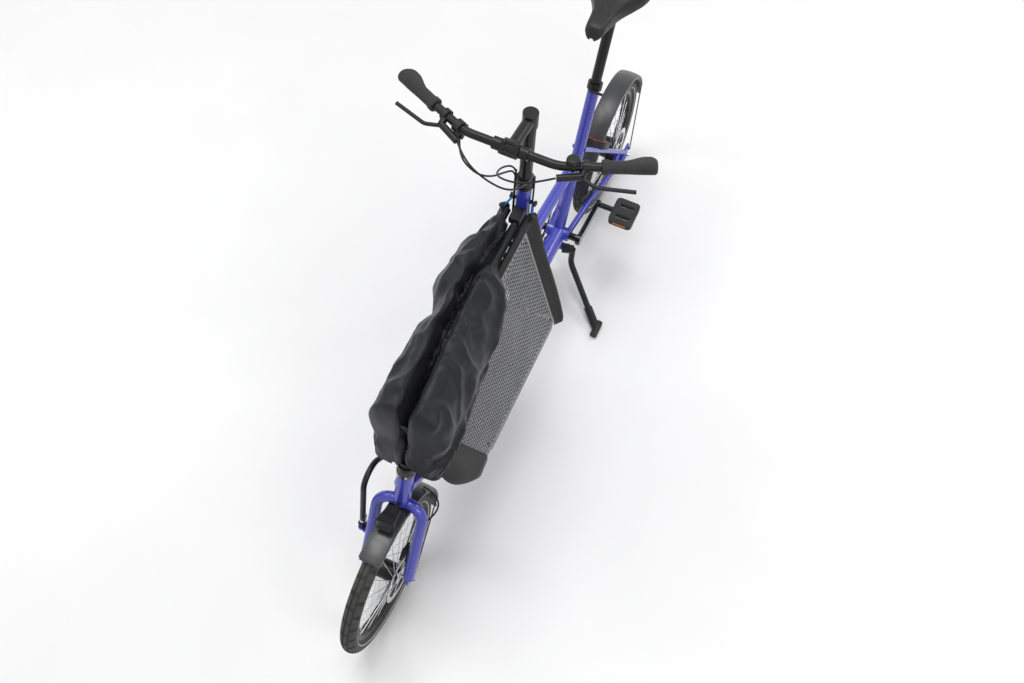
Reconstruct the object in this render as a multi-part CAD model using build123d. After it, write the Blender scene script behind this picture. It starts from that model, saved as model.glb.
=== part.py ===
from build123d import *
import math
import os

# Driving dimensions, in millimetres. x runs forward from the rear axle, y to the rider's left, z up.

# wheels
wheelbase = 1602.0
tyre_r = 242.0
tyre_w = 47.0
tyre_h = 44.0
bead_r = 205.0
rim_depth = 19.0
rim_w = 28.0
spoke_d = 2.2
spoke_pairs = 9
spoke_lead = 24.0
hub_r_front = 28.0
hub_r_rear = 36.0
flange_t = 4.0
hub_half = 30.0
disc_r = 80.0
disc_ring = 16.0
disc_t = 2.0
disc_y = 39.0
caliper_y = 49.6
caliper_w = 22.0
caliper_rear_angle = 28.0
caliper_front_angle = 134.0
axle_r = 6.0
run_gap = 0.05
seat_gap = 0.3

# fenders
fender_gap = 9.0
fender_t = 2.5
fender_w = 58.0
fender_stay_d = 4.0
fender_rear_first = 12.0
fender_rear_last = 165.0
fender_front_first = 76.0
fender_front_last = 185.0
flap_len = 62.0
flap_t = 3.0
eye_foot_r = 5.0

# front steering
head_angle = 70.0
rake = 34.0
steerer_r = 14.3
crown_up = 271.0
head_up = 291.0
head_len = 122.0
head_r = 23.0
fork_leg_y = 66.0
fork_leg_r = 15.5
fork_axle_half = 84.0
lock_angle = 40.0

# rear steering column
column_angle = 86.0
column_x = 711.0
column_ref_z = 1000.0
head2_top = 925.0
head2_bottom = 480.0
head2_r = 20.0
arm_z = 362.0
arm_len = 103.0
link_r = 8.0
link_top_z = 585.0
link_top_back = 130.0
link_dip_back = 317.0
eye_r = 10.5
lug_throat = 24.0

# frame
bb_x = 408.0
bb_z = 285.0
bb_half = 38.0
bb_r = 21.0
seat_x = 205.0
seat_z = 776.0
seat_tube_r = 17.5
post_r = 15.0
main_r = 27.0
main_bend_x = wheelbase - 362.0
main_bend_z = 348.0
main_bend_radius = 120.0
stay_r = 10.0
seatstay_r = 8.0
dropout_half = 72.0
dropout_t = 7.0
eyelet_r = 2.5
top_tube_r = 17.0
top_tube_z = 535.0
strut_x = 555.0

# saddle
saddle_len = 275.0
saddle_w = 172.0
saddle_nose_w = 42.0
saddle_h = 46.0
saddle_top = 1068.0
saddle_nose_x = 292.0

# handlebar
bar_r = 11.0
bar_half = 325.0
bar_x = 812.0
bar_grip_x = 721.0
bar_sweep_y = 120.0
grip_len = 135.0
grip_r = 16.5
clamp_r = 15.9
clamp_half = 45.0
stem_top = 1192.0
bar_drop = 2.0
bar_z = stem_top - bar_drop
bar_bend_y = bar_half - 113.0
bar_bend_back = 40.0
lever_y = bar_half - 147.0
bell_y = bar_half - 175.0
shifter_y = bar_half - 189.0

# cranks
crank_len = 168.0
crank_angle = 188.0
crank_y = 64.0
crank_t = 14.0
ring_r = 72.0
ring_y = -53.0
ring_t = 4.0
sprocket_r = 38.0
chain_h = 9.0
chain_t = 6.0
pedal_l = 98.0
pedal_w = 80.0
pedal_t = 20.0
pedal_y = 162.0

# stand
stand_x = 385.0
stand_y = 36.0
stand_z = 174.0
stand_foot_x = 536.0
stand_foot_y = 208.0
stand_leg_r = 10.0
stand_bar_r = 13.0
stand_boss_len = 24.0
stand_knee_x = 383.0
stand_knee_y = 45.5
stand_knee_z = 91.0
stand_knee_radius = 30.0
stand_root_r = 13.0
stand_root_len = 14.0
stand_toe = 17.75
stand_drop = 1.9
stand_fold = 120.0
stand_foot_len = 78.0

# basket
floor_z = 418.0
floor_t = 12.0
floor_rear = 785.0
floor_front = wheelbase - 360.0
hinge_y = 138.0
hinge_r = 5.0
panel_t = 3.0
rim_y = 32.0
rim_z = 845.0
rim_r = 11.0
rim_rear = 752.0
rim_front = wheelbase - 197.0
open_half = 315.0
load_hole_r = 3.2
load_hole_x = 300.0
load_hole_y = 160.0
cover_t = 0.6
cover_rear = 800.0
cover_front = wheelbase - 174.0
gusset_t = 6.0

# headsets, lamp and lock
cup_h = 10.0
cup_wall = 3.0
cap_h = 14.0
lamp_l = 58.0
lamp_w = 52.0
lamp_h = 38.0
lens_t = 4.0
lock_gap = 6.0
lock_w = 14.0
lock_t = 20.0
lock_legs_r = 198.0
lock_top_r = 262.0

# hoses
hose_r = 2.5
hose_bend = 40.0
hose_entry_z = 344.0

floor_half = hinge_y - hinge_r - seat_gap
fender_in = tyre_r + fender_gap
fender_out = fender_in + fender_t
mid_x = (wheelbase + tyre_r - fender_out) / 2


def out(name, shape):
    os.makedirs("parts", exist_ok=True)
    export_step(Pos(-mid_x, 0, 0) * shape, f"parts/{name}.step")


def rod(a, b, r):
    a, b = Vector(*a), Vector(*b)
    return Solid.make_cylinder(r, (b - a).length, Plane(origin=a, z_dir=b - a))


def tube(points, r, radius):
    path = FilletPolyline(*points, radius=radius)
    return sweep(Plane(origin=path @ 0, z_dir=path % 0) * Circle(r), path=path)


def ring(x, z, y0, y1, r_out, r_in):
    disc = rod((x, y0, z), (x, y1, z), r_out)
    return disc - rod((x, y0 - 1, z), (x, y1 + 1, z), r_in)


def mirror_y(shape):
    return mirror(shape, about=Plane.XZ)


def slab(points, axis, low, high):
    """A prism of a polygon in the plane across the axis, from low to high along it."""
    if axis == "y":
        plane = Plane(origin=(0, low, 0), x_dir=(1, 0, 0), z_dir=(0, 1, 0))
        points = [(x, -z) for x, z in points]
    elif axis == "z":
        plane = Plane(origin=(0, 0, low), x_dir=(1, 0, 0), z_dir=(0, 0, 1))
    else:
        plane = Plane(origin=(low, 0, 0), x_dir=(0, 1, 0), z_dir=(1, 0, 0))
    return extrude(plane * make_face(Polyline(*points, close=True)), high - low)


# Steering axes: points at a distance up each axis, and offsets across it

def front_axis(up, fore=0.0, y=0.0):
    a = math.radians(head_angle)
    x = wheelbase - rake * math.sin(a) - up * math.cos(a) + fore * math.sin(a)
    z = tyre_r - rake * math.cos(a) + up * math.sin(a) + fore * math.cos(a)
    return (x, y, z)


def column(z, fore=0.0, y=0.0):
    t = math.tan(math.radians(column_angle))
    return (column_x + (column_ref_z - z) / t + fore, y, z)


def seat_line(z, y=0.0):
    return (bb_x + (seat_x - bb_x) * (z - bb_z) / (seat_z - bb_z), y, z)


def main_line(x):
    return (x, 0, bb_z + (main_bend_z - bb_z) * (x - bb_x) / (main_bend_x - bb_x))


def on_wheel(x, angle, r, y=0.0):
    a = math.radians(angle)
    return (x + r * math.cos(a), y, tyre_r + r * math.sin(a))


# Frame

def frame():
    main = tube(
        [(bb_x, 0, bb_z), (main_bend_x, 0, main_bend_z), front_axis(head_up + 0.4 * head_len)],
        main_r, main_bend_radius,
    )
    seat = rod((bb_x, 0, bb_z), (seat_x, 0, seat_z), seat_tube_r)
    shell = rod((bb_x, -bb_half, bb_z), (bb_x, bb_half, bb_z), bb_r)
    head = rod(front_axis(head_up), front_axis(head_up + head_len), head_r)
    head2 = rod(column(head2_bottom), column(head2_top), head2_r)
    top = rod(seat_line(top_tube_z), column(top_tube_z + 85), top_tube_r)
    strut = rod(main_line(strut_x), column(head2_bottom + 50), top_tube_r)
    body = main + seat + shell + head + head2 + top + strut
    for side in (1, -1):
        drop = on_wheel(0, 0, 12, side * dropout_half)
        elbow = (bb_x - 150, side * 41, bb_z - 14)
        body += tube([(bb_x - 4, side * 30, bb_z), elbow, drop], stay_r, 120)
        body += rod(seat_line(575, side * 14), (4, side * dropout_half, tyre_r + 14), seatstay_r)
        body += slab(
            [(-22, tyre_r - 20), (30, tyre_r - 16), (38, tyre_r + 14), (10, tyre_r + 32), (-22, tyre_r + 30)],
            "y", side * dropout_half - dropout_t / 2, side * dropout_half + dropout_t / 2,
        )
    # bridge between the left stays, with the lug that carries the rear brake caliper
    lug = on_wheel(0, caliper_rear_angle, disc_r - 12)
    body += slab(
        [(18, tyre_r + 4), (92, tyre_r + 14), (88, tyre_r + 62), (60, tyre_r + 74), (30, tyre_r + 40)],
        "y", dropout_half - 13, dropout_half - 6,
    )
    body += Pos(lug[0], (caliper_y + dropout_half - 8) / 2, lug[2]) * Box(30, dropout_half - 8 - caliper_y, 22)
    # posts that carry the basket floor
    for share in (0.12, 0.86):
        x = floor_rear + share * (floor_front - floor_rear)
        z = main_line(x)[2]
        body += Pos(x, 0, (z + floor_z - floor_t) / 2) * Box(40, 34, floor_z - floor_t - z)
    # stand carrier under the bottom bracket
    body += rod((bb_x - 8, 0, bb_z), (stand_x, 0, stand_z), stand_bar_r)
    body += rod((stand_x, -stand_y + 12, stand_z), (stand_x, stand_y - 12, stand_z), stand_bar_r)
    # bores
    body -= rod((bb_x, -bb_half - stay_r, bb_z), (bb_x, bb_half + stay_r, bb_z), 12 + run_gap)
    body -= rod(front_axis(head_up - 1), front_axis(head_up + head_len + 1), steerer_r + run_gap)
    body -= rod(column(head2_bottom - 1), column(head2_top + 1), steerer_r + run_gap)
    body -= rod(seat_line(seat_z - 130), seat_line(seat_z + 2), post_r + run_gap)
    for side in (1, -1):
        y0 = side * dropout_half - dropout_t
        body -= rod((0, y0, tyre_r), (0, y0 + 2 * dropout_t, tyre_r), axle_r + run_gap)
        body -= rod((-14, y0, tyre_r + 20), (-14, y0 + 2 * dropout_t, tyre_r + 20), eyelet_r)
    return body


def seat_parts():
    lift = Vector(*seat_line(seat_z + 1)) - Vector(*seat_line(seat_z))
    up = lift.normalized()
    low, high = Vector(*seat_line(seat_z)) - up * 16, Vector(*seat_line(seat_z)) + up * 4
    collar = Solid.make_cylinder(22, 20, Plane(origin=low, z_dir=up))
    collar -= Solid.make_cylinder(seat_tube_r + run_gap, 16, Plane(origin=low, z_dir=up))
    collar -= Solid.make_cylinder(post_r + run_gap, 40, Plane(origin=low, z_dir=up))
    lever = rod(low + up * 8 + Vector(24, -6, 0), low + up * 8 + Vector(26, 34, 4), 4)
    out("seat_collar", collar + lever)
    post_top = saddle_top - saddle_h - 12
    post = rod(seat_line(seat_z - 120), seat_line(post_top), post_r)
    head = rod((seat_line(post_top)[0], -20, post_top), (seat_line(post_top)[0], 20, post_top), 15)
    out("seatpost", post + head)
    clamp_x = seat_line(post_top)[0]
    rails = None
    for side in (1, -1):
        y = side * 22
        wire = tube(
            [(clamp_x - 62, y + side * 18, post_top + 23), (clamp_x - 36, y + side * 2, post_top + 3),
             (clamp_x + 60, y, post_top + 3), (saddle_nose_x - 40, side * 9, saddle_top - saddle_h + 13)],
            3.5, 18,
        )
        rails = wire if rails is None else rails + wire
    rails -= Pos(clamp_x, 0, post_top) * Box(40.4, 40.6, 31)
    out("saddle_rails", rails)


def saddle():
    tail = saddle_nose_x - saddle_len
    spans = [(0.0, 0.62, 0.55), (0.1, 0.92, 0.9), (0.3, 1.0, 1.0), (0.5, 0.62, 0.95)]
    faces = []
    for share, width, height in spans:
        w = saddle_w * width
        h = (saddle_h - 14) * height
        plane = Plane(origin=(tail + share * saddle_len, 0, saddle_top - h / 2), x_dir=(0, 1, 0), z_dir=(1, 0, 0))
        faces.append(plane * RectangleRounded(w, h, min(w, h) * 0.45))
    for share, width, height in ((0.75, 1.25, 0.85), (1.0, 0.8, 0.6)):
        w = saddle_nose_w * width
        h = (saddle_h - 14) * height
        plane = Plane(
            origin=(tail + share * saddle_len, 0, saddle_top - 3 - h / 2), x_dir=(0, 1, 0), z_dir=(1, 0, 0)
        )
        faces.append(plane * RectangleRounded(w, h, min(w, h) * 0.45))
    return loft(faces)


# Wheels

def tyre(x):
    section = Plane.YZ * Pos(0, 0, 0) * Ellipse(tyre_w / 2, tyre_h / 2)
    section = Pos(x, 0, tyre_r + tyre_r - tyre_h / 2) * section
    axis = Axis((x, 0, tyre_r), (0, 1, 0))
    solid = revolve(section, axis)
    return solid - rod((x, -tyre_w, tyre_r), (x, tyre_w, tyre_r), bead_r)


def wheel_rim(x):
    return ring(x, tyre_r, -rim_w / 2, rim_w / 2, bead_r - run_gap, bead_r - rim_depth)


def spokes(x, flange_r):
    wires = []
    pitch = 360 / spoke_pairs / 2
    for k in range(2 * spoke_pairs):
        for side in (1, -1):
            start = k * pitch + (pitch / 2 if side < 0 else 0)
            a = on_wheel(x, start, flange_r + spoke_d / 2, side * (hub_half - flange_t / 2))
            b = on_wheel(x, start + spoke_lead, bead_r - rim_depth - seat_gap, side * 5)
            wires.append(rod(a, b, spoke_d / 2))
    return Compound(wires)


def hub(x, body_r):
    core = rod((x, -hub_half, tyre_r), (x, hub_half, tyre_r), body_r)
    for side in (1, -1):
        y0 = side * (hub_half - flange_t) if side > 0 else -hub_half
        core += rod((x, y0, tyre_r), (x, y0 + flange_t, tyre_r), body_r + 7)
    core += rod((x, -hub_half - 12, tyre_r), (x, disc_y - disc_t / 2, tyre_r), 17)
    if x == 0:
        core += rod((x, ring_y - ring_t / 2, tyre_r), (x, 0, tyre_r), 17)
        core += ring(x, tyre_r, ring_y - ring_t / 2, ring_y + ring_t / 2, sprocket_r, 15)
    return core - rod((x, -100, tyre_r), (x, 100, tyre_r), axle_r + run_gap)


def brake_disc(x):
    y0, y1 = disc_y - disc_t / 2, disc_y + disc_t / 2
    plate = ring(x, tyre_r, y0, y1, disc_r, disc_r - disc_ring)
    plate += ring(x, tyre_r, y0, y1, 24, axle_r + 3)
    for k in range(6):
        a = on_wheel(x, k * 60, 20, (y0 + y1) / 2)
        b = on_wheel(x, k * 60 + 22, disc_r - disc_ring + 3, (y0 + y1) / 2)
        arm = Vector(*b) - Vector(*a)
        plane = Plane(origin=Vector(*a) + arm / 2, x_dir=arm, z_dir=(0, 1, 0))
        plate += plane * Box(arm.length, 6, disc_t)
    return plate


def caliper(x, angle):
    px, _, pz = on_wheel(x, angle, disc_r - 4)
    block = Pos(px, caliper_y - caliper_w / 2, pz) * Rot(0, -angle, 0) * Box(34, caliper_w, 46)
    slot = ring(x, tyre_r, disc_y - 4, disc_y + 4, disc_r + 8, 10)
    return block - slot


def fender(x, first, last):
    wide, narrow = fender_w / 2, fender_w / 2 - 8
    arc_points = [(-wide, fender_in - 9), (-wide + 3, fender_in - 2), (-narrow, fender_in)]
    arc_points += [(narrow, fender_in), (wide - 3, fender_in - 2), (wide, fender_in - 9)]
    outer = [(y + math.copysign(1.5, y), r + fender_t) for y, r in reversed(arc_points)]
    face = make_face(Polyline(*arc_points, *outer, close=True))
    start = math.radians(first)
    plane = Plane(
        origin=(x, 0, tyre_r), x_dir=(0, 1, 0),
        z_dir=(math.sin(start), 0, -math.cos(start)),
    )
    return revolve(plane * face, Axis((x, 0, tyre_r), (0, -1, 0)), last - first)


def fender_stays(x, angle, foot_r, half):
    stays = None
    for side in (1, -1):
        a = on_wheel(x, angle, fender_in - 4, side * (fender_w / 2 + 2))
        b = on_wheel(x, angle, foot_r, side * (half + fender_stay_d))
        foot = rod((b[0], side * (half + seat_gap), b[2]), (b[0], side * (half + 5), b[2]), eye_foot_r)
        wire = rod(a, b, fender_stay_d / 2) + foot
        stays = wire if stays is None else stays + wire
    return stays


def mud_flap(x, angle):
    """A soft flap that hangs on from the fender's last edge, a little wider at its foot."""
    top = Vector(*on_wheel(x, angle, fender_in))
    a = math.radians(angle)
    along = Vector(-math.sin(a), 0, math.cos(a))
    outward = Vector(math.cos(a), 0, math.sin(a))
    plane = Plane(origin=top - along * 8, x_dir=(0, 1, 0), z_dir=outward)
    half, reach = fender_w / 2 - 6, flap_len + 8
    sign = 1 if plane.y_dir.dot(along) > 0 else -1
    face = make_face(Polyline((-half, 0), (half, 0), (half + 4, sign * reach), (-half - 4, sign * reach), close=True))
    return extrude(plane * face, flap_t)


# Fork

def fork():
    crown = Vector(*front_axis(crown_up))
    body = rod(front_axis(crown_up - 6), front_axis(head_up + head_len + 14), steerer_r)
    body += rod(front_axis(crown_up - 4), front_axis(head_up - seat_gap), 20)
    for side in (1, -1):
        shoulder = front_axis(crown_up - 2, 0, side * fork_leg_y)
        end = (wheelbase, side * fork_leg_y, tyre_r + 16)
        body += tube([tuple(crown), shoulder, end], fork_leg_r, 46)
        y0 = side * fork_leg_y
        body += rod((wheelbase, y0 - 5, tyre_r), (wheelbase, y0 + 5, tyre_r), 17)
        body += Pos(wheelbase, y0, tyre_r + 14) * Box(24, 10, 26)
    # lug that carries the front brake caliper
    body += Pos(*on_wheel(wheelbase, caliper_front_angle - 8, disc_r - 2, (caliper_y + fork_leg_y) / 2)) * Box(
        26, fork_leg_y - caliper_y, 30
    )
    # steering tab on the right leg, with the stud for the link
    stud = Vector(*front_axis(107, 0, -arm_len))
    leg = Vector(*front_axis(112, 12, -fork_leg_y))
    up = Vector(*front_axis(1)) - Vector(*front_axis(0))
    tab = Plane(origin=(stud + leg) / 2 - up * 17, x_dir=stud - leg, z_dir=up)
    body += tab * Box((stud - leg).length + 4, 20, 5)
    body += Solid.make_cylinder(11, 5, Plane(origin=stud - up * 19.5, z_dir=up))
    body += Solid.make_cylinder(3.5, 26, Plane(origin=stud - up * 19.5, z_dir=up))
    return body - rod((wheelbase, -100, tyre_r), (wheelbase, 100, tyre_r), axle_r + run_gap)


def drag_link():
    front = front_axis(107, 0, -arm_len)
    rear = column(arm_z, 0, -arm_len)
    up = Vector(*front_axis(1)) - Vector(*front_axis(0))
    wire = tube(
        [rear, (wheelbase - link_dip_back, -arm_len, arm_z), (wheelbase - link_top_back, -arm_len, link_top_z), tuple(Vector(*front) + up * 4)],
        link_r, [150, 46],
    )
    wire += Sphere(eye_r + 2).moved(Location(front))
    wire -= Solid.make_cylinder(8.5, 60, Plane(origin=Vector(*front) - up * 50, z_dir=up))
    wire += Solid.make_cylinder(eye_r + 2, 16, hinge_plane(-8))
    wire -= Solid.make_cylinder(5 + run_gap, 40, hinge_plane(-20))
    return wire


def hinge_plane(lift):
    """Across the link's rear pin, which leans a little so that the front eye keeps to its stud."""
    a = math.radians(column_angle)
    axis = Vector(-math.cos(a), link_lean, math.sin(a)).normalized()
    return Plane(origin=Vector(*column(arm_z, 0, -arm_len)) + axis * lift, z_dir=axis)


link_run = front_axis(107)[0] - column(arm_z)[0]
link_lean = arm_len * (math.cos(math.radians(head_angle)) - math.cos(math.radians(column_angle))) / link_run


# Cockpit

def bar_tube(r):
    points = [(bar_grip_x, bar_half, bar_z), (bar_x - bar_bend_back, bar_bend_y, bar_z), (bar_x, bar_sweep_y, bar_z)]
    points += [(x, -y, z) for x, y, z in reversed(points)]
    return tube(points, r, [140, 120, 120, 140])


def cockpit():
    tall = rod(column(arm_z - 6), column(stem_top), steerer_r)
    tall += rod(column(head2_top + 12), column(head2_top + 34), head2_r + 3)
    tall += rod(column(head2_top + 34), column(stem_top - 4), 17)
    tall += rod(column(stem_top - 44), column(stem_top), 20)
    tall += rod(column(stem_top - 22), (bar_x, 0, bar_z), 15)
    tall += rod((bar_x, -20, bar_z), (bar_x, 20, bar_z), clamp_r + 5)
    tall -= rod((bar_x, -60, bar_z), (bar_x, 60, bar_z), clamp_r + run_gap)
    # arm at the foot of the column
    tall += rod(column(arm_z), column(arm_z, 0, -arm_len + 22), 9)
    tall += rod(column(arm_z - 8), column(arm_z + 20), 19)
    lug = Solid.make_cylinder(13, 6, hinge_plane(-16))
    lug += Solid.make_cylinder(13, 6, hinge_plane(10))
    lug += Pos(column(arm_z, 0, -arm_len + 20)) * Box(20, 22, 36)
    tall += lug
    tall -= Solid.make_cylinder(lug_throat, 20, hinge_plane(-10))
    tall += Solid.make_cylinder(5, 34, hinge_plane(-17))
    out("column", tall)
    bar, bar_bore = bar_tube(bar_r), bar_tube(bar_r + run_gap)
    bar += rod((bar_x, -clamp_half, bar_z), (bar_x, clamp_half, bar_z), clamp_r)
    out("handlebar", bar)
    grip = None
    for side in (1, -1):
        tip = Vector(bar_grip_x, side * bar_half, bar_z)
        inward = (Vector(bar_x - bar_bend_back, side * bar_bend_y, bar_z) - tip).normalized()
        sleeve = Solid.make_cylinder(grip_r, grip_len - 8, Plane(origin=tip - inward * 2, z_dir=inward))
        wing = Solid.make_cylinder(grip_r, 62, Plane(origin=tip - inward * 2, z_dir=inward))
        sleeve += wing.moved(Location((-12, 0, -2)))
        sleeve -= Solid.make_cylinder(bar_r + run_gap, 400, Plane(origin=tip, z_dir=inward))
        grip = sleeve if grip is None else grip + sleeve
    out("grips", grip)
    levers = None
    for side in (1, -1):
        clamp = bar_point(side * lever_y)
        along = bar_along(side)
        body = Solid.make_cylinder(16, 14, Plane(origin=clamp - along * 7, z_dir=along))
        body += rod(clamp + Vector(27, 0, -4), clamp + Vector(53, -side * 52, -8), 9)
        body += rod(clamp, clamp + Vector(29, 0, -4), 9)
        body += tube(
            [tuple(clamp + Vector(28, -side * 4, -6)), tuple(clamp + Vector(38, side * 40, -10)),
             tuple(clamp + Vector(8, side * 128, -14))], 5, 30,
        )
        body -= bar_bore
        levers = body if levers is None else levers + body
    out("brake_levers", levers)


# Headsets, lamp, lock and other fittings

def headsets():
    cups = rod(front_axis(head_up + head_len), front_axis(head_up + head_len + cup_h), head_r + 1.5)
    cups -= rod(front_axis(head_up), front_axis(head_up + head_len + 2 * cup_h), steerer_r + run_gap)
    for low, high in ((head2_top, head2_top + cup_h), (head2_bottom - cup_h, head2_bottom)):
        cup = rod(column(low), column(high), head2_r + cup_wall)
        cups += cup - rod(column(low - 1), column(high + 1), steerer_r + run_gap)
    return cups


def steerer_cap():
    low = head_up + head_len + cup_h + seat_gap
    cap = rod(front_axis(low), front_axis(low + cap_h), head_r - cup_wall)
    return cap - rod(front_axis(low - 1), front_axis(head_up + head_len + cap_h + seat_gap), steerer_r + run_gap)


def headlight():
    """Lamp house in front of the crown, its back face towards the head tube, with cooling fins on top."""
    up = Vector(*front_axis(1)) - Vector(*front_axis(0))
    fore = Vector(*front_axis(0, 1)) - Vector(*front_axis(0))
    middle = Vector(*front_axis(crown_up + 13, 45 + lamp_l / 2))
    plane = Plane(origin=middle - fore * (lamp_l / 2), x_dir=(0, 1, 0), z_dir=fore)
    back = plane * RectangleRounded(lamp_w * 0.72, lamp_h * 0.62, 6)
    face = Plane(origin=middle + fore * (lamp_l / 2), x_dir=(0, 1, 0), z_dir=fore)
    house = loft([back, face * RectangleRounded(lamp_w, lamp_h, 7)])
    for k in range(4):
        centre = middle + up * (lamp_h * 0.5) + fore * (k * 8 - 18)
        house -= Plane(origin=centre, x_dir=(0, 1, 0), z_dir=fore) * Box(lamp_w, 9, 3.4)
    arm = rod(front_axis(crown_up + 8, 20 + 5 * seat_gap), middle - fore * (lamp_l / 2 - 6), 6)
    lens = face.offset(seat_gap) * RectangleRounded(lamp_w - 8, lamp_h - 8, 6)
    return house + arm, extrude(lens, lens_t)


def ring_lock():
    """Horseshoe over tyre and fender, against the upper side of the seat stays."""
    foot = Vector(4, 0, tyre_r + 14)
    head = Vector(*seat_line(575))
    run = (head - foot).normalized()
    lift = Vector(-run.Z, 0, run.X)
    start = foot + lift * (seatstay_r + seat_gap)
    plane = Plane(origin=start, x_dir=(0, 1, 0), z_dir=lift)
    sign = 1 if plane.y_dir.dot(run) > 0 else -1
    inner = fender_w / 2 + lock_gap
    outer = inner + lock_w
    high = sign * lock_top_r
    low = sign * lock_legs_r
    bow = make_face(Polyline((-outer, low), (outer, low), (outer, high), (-outer, high), close=True))
    bow += Pos(0, high) * Circle(outer)
    bow -= make_face(Polyline((-inner, low - sign), (inner, low - sign), (inner, high), (-inner, high), close=True))
    bow -= Pos(0, high) * Circle(inner)
    return extrude(plane * bow, lock_t)


def rim_latch():
    """Block on the rear head tube's front that lies between the two basket rims."""
    x = column(rim_z)[0]
    block = Pos(x + head2_r + 16, 0, rim_z) * Box(46, 2 * (rim_y - rim_r - 6), 24)
    return block - rod(column(rim_z - 60), column(rim_z + 60), head2_r + run_gap)


def bar_point(y):
    """The middle of the handlebar between its sweep and its grip, at a distance to one side."""
    share = (abs(y) - bar_sweep_y) / (bar_bend_y - bar_sweep_y)
    return Vector(bar_x - bar_bend_back * share, y, bar_z)


def bell():
    clamp = bar_point(bell_y)
    dome = Solid.make_cylinder(17, 12, Plane(origin=clamp + Vector(0, 0, bar_r + 8), z_dir=(0, 0, 1)))
    dome = fillet(dome.edges().group_by(Axis.Z)[-1], 8)
    post = Solid.make_cylinder(6, 10, Plane(origin=clamp + Vector(0, 0, bar_r), z_dir=(0, 0, 1)))
    band = Solid.make_cylinder(bar_r + 3, 8, Plane(origin=clamp - bar_along(1) * 4, z_dir=bar_along(1)))
    return dome + post + band - bar_tube(bar_r + run_gap)


def bar_along(side):
    return Vector(-bar_bend_back, side * (bar_bend_y - bar_sweep_y), 0).normalized()


def shifter():
    clamp = bar_point(-shifter_y)
    body = Solid.make_cylinder(bar_r + 6, 18, Plane(origin=clamp - bar_along(-1) * 9, z_dir=bar_along(-1)))
    body += Pos(clamp.X - 8, clamp.Y, clamp.Z - 24) * Box(34, 24, 18)
    return body - bar_tube(bar_r + run_gap)


# Hoses and cables

def hoses_bars():
    """From the levers and shifter round the column's front and down to its foot collar."""
    away = Vector(26, 52, -4).normalized() * 0.5
    left = bar_point(lever_y) + Vector(53 + away.X, -52 - away.Y, -8)
    right = bar_point(-lever_y) + Vector(53 + away.X, 52 + away.Y, -8)
    shift = bar_point(-shifter_y) + Vector(9 + seat_gap, 0, -24)
    end_z = head2_top + cup_h + hose_bend
    ends = [column(end_z, fore, y) for fore, y in hose_places()]
    runs = [
        [tuple(left), (left.X + 22, left.Y - 44, bar_z - 12), (bar_x - 30, 34, bar_z - 90), ends[0]],
        [tuple(right), (right.X + 22, right.Y + 44, bar_z - 12), (bar_x - 30, -34, bar_z - 104), ends[1]],
        [tuple(shift), (shift.X + 50, shift.Y, bar_z - 24), (bar_x - 4, -30, bar_z - 100), ends[2]],
    ]
    return Compound([tube(points, hose_r, 24) for points in runs])


def hoses_frame():
    """Down the rear head tube into the main tube, and out again along the left chain stay to the caliper."""
    start_z = head2_top + cup_h + hose_bend - hose_r
    wires = []
    for fore, y in hose_places():
        points = [column(start_z, fore, y), column(head2_bottom - 30, fore, y), (strut_x + 150, y / 2, hose_entry_z)]
        wires.append(tube(points, hose_r, hose_bend))
    points = [(bb_x - 150, 41 - stay_r - hose_r - 2 * seat_gap, bb_z - 14), (bb_x - 208, 34.5, bb_z - 20), on_wheel(0, 16, 128, 38.5)]
    points.append(on_wheel(0, caliper_rear_angle, disc_r + 16, caliper_y - caliper_w / 2))
    wires.append(tube(points, hose_r, 24))
    return Compound(wires)


def hose_places():
    """Where the hoses lie against the rear head tube's cups: fore and to the left."""
    reach = head2_r + cup_wall + hose_r + seat_gap
    return [(0, reach), (0, -reach), (0.4 * reach, -0.91 * reach)]


def hose_front():
    """Along the back of the left fork leg and across to the caliper."""
    reach = fork_leg_r + hose_r + seat_gap
    top = Vector(*front_axis(crown_up - 2, 0, fork_leg_y))
    low = Vector(wheelbase, fork_leg_y, tyre_r + 16)
    back = (low - top).cross(Vector(0, -1, 0)).normalized()
    points = [tuple(top + (low - top) * share + back * reach) for share in (0.25, 0.5)]
    points.append(on_wheel(wheelbase, caliper_front_angle, disc_r + 19, caliper_y - caliper_w / 2))
    return tube(points, hose_r, 24)


# Cranks and pedals

def crank_end(side):
    a = math.radians(crank_angle if side > 0 else crank_angle + 180)
    return (bb_x + crank_len * math.cos(a), bb_z + crank_len * math.sin(a))


def crankset():
    body = rod((bb_x, -crank_y - crank_t, bb_z), (bb_x, crank_y + crank_t, bb_z), 12)
    for side in (1, -1):
        x, z = crank_end(side)
        y0, y1 = sorted((side * crank_y, side * (crank_y + crank_t)))
        boss = rod((bb_x, y0, bb_z), (bb_x, y1, bb_z), 19)
        tip = rod((x, y0, z), (x, y1, z), 14)
        dx, dz = (x - bb_x) / crank_len, (z - bb_z) / crank_len
        web = slab(
            [(bb_x - dz * 16, bb_z + dx * 16), (bb_x + dz * 16, bb_z - dx * 16),
             (x + dz * 12, z - dx * 12), (x - dz * 12, z + dx * 12)], "y", y0, y1,
        )
        arm = boss + tip + web
        arm -= rod((x, y0 - 1, z), (x, y1 + 1, z), 6 + run_gap)
        body += arm
    body += ring(bb_x, bb_z, ring_y - ring_t / 2, ring_y + ring_t / 2, ring_r, ring_r - 14)
    body += ring(bb_x, bb_z, -crank_y - 2, ring_y - ring_t / 2, 30, 11)
    for k in range(5):
        a = math.radians(k * 72 + 20)
        tip = (bb_x + (ring_r - 8) * math.cos(a), ring_y, bb_z + (ring_r - 8) * math.sin(a))
        body += rod((bb_x + 22 * math.cos(a), ring_y - 5, bb_z + 22 * math.sin(a)), tip, 5)
    return body


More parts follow.
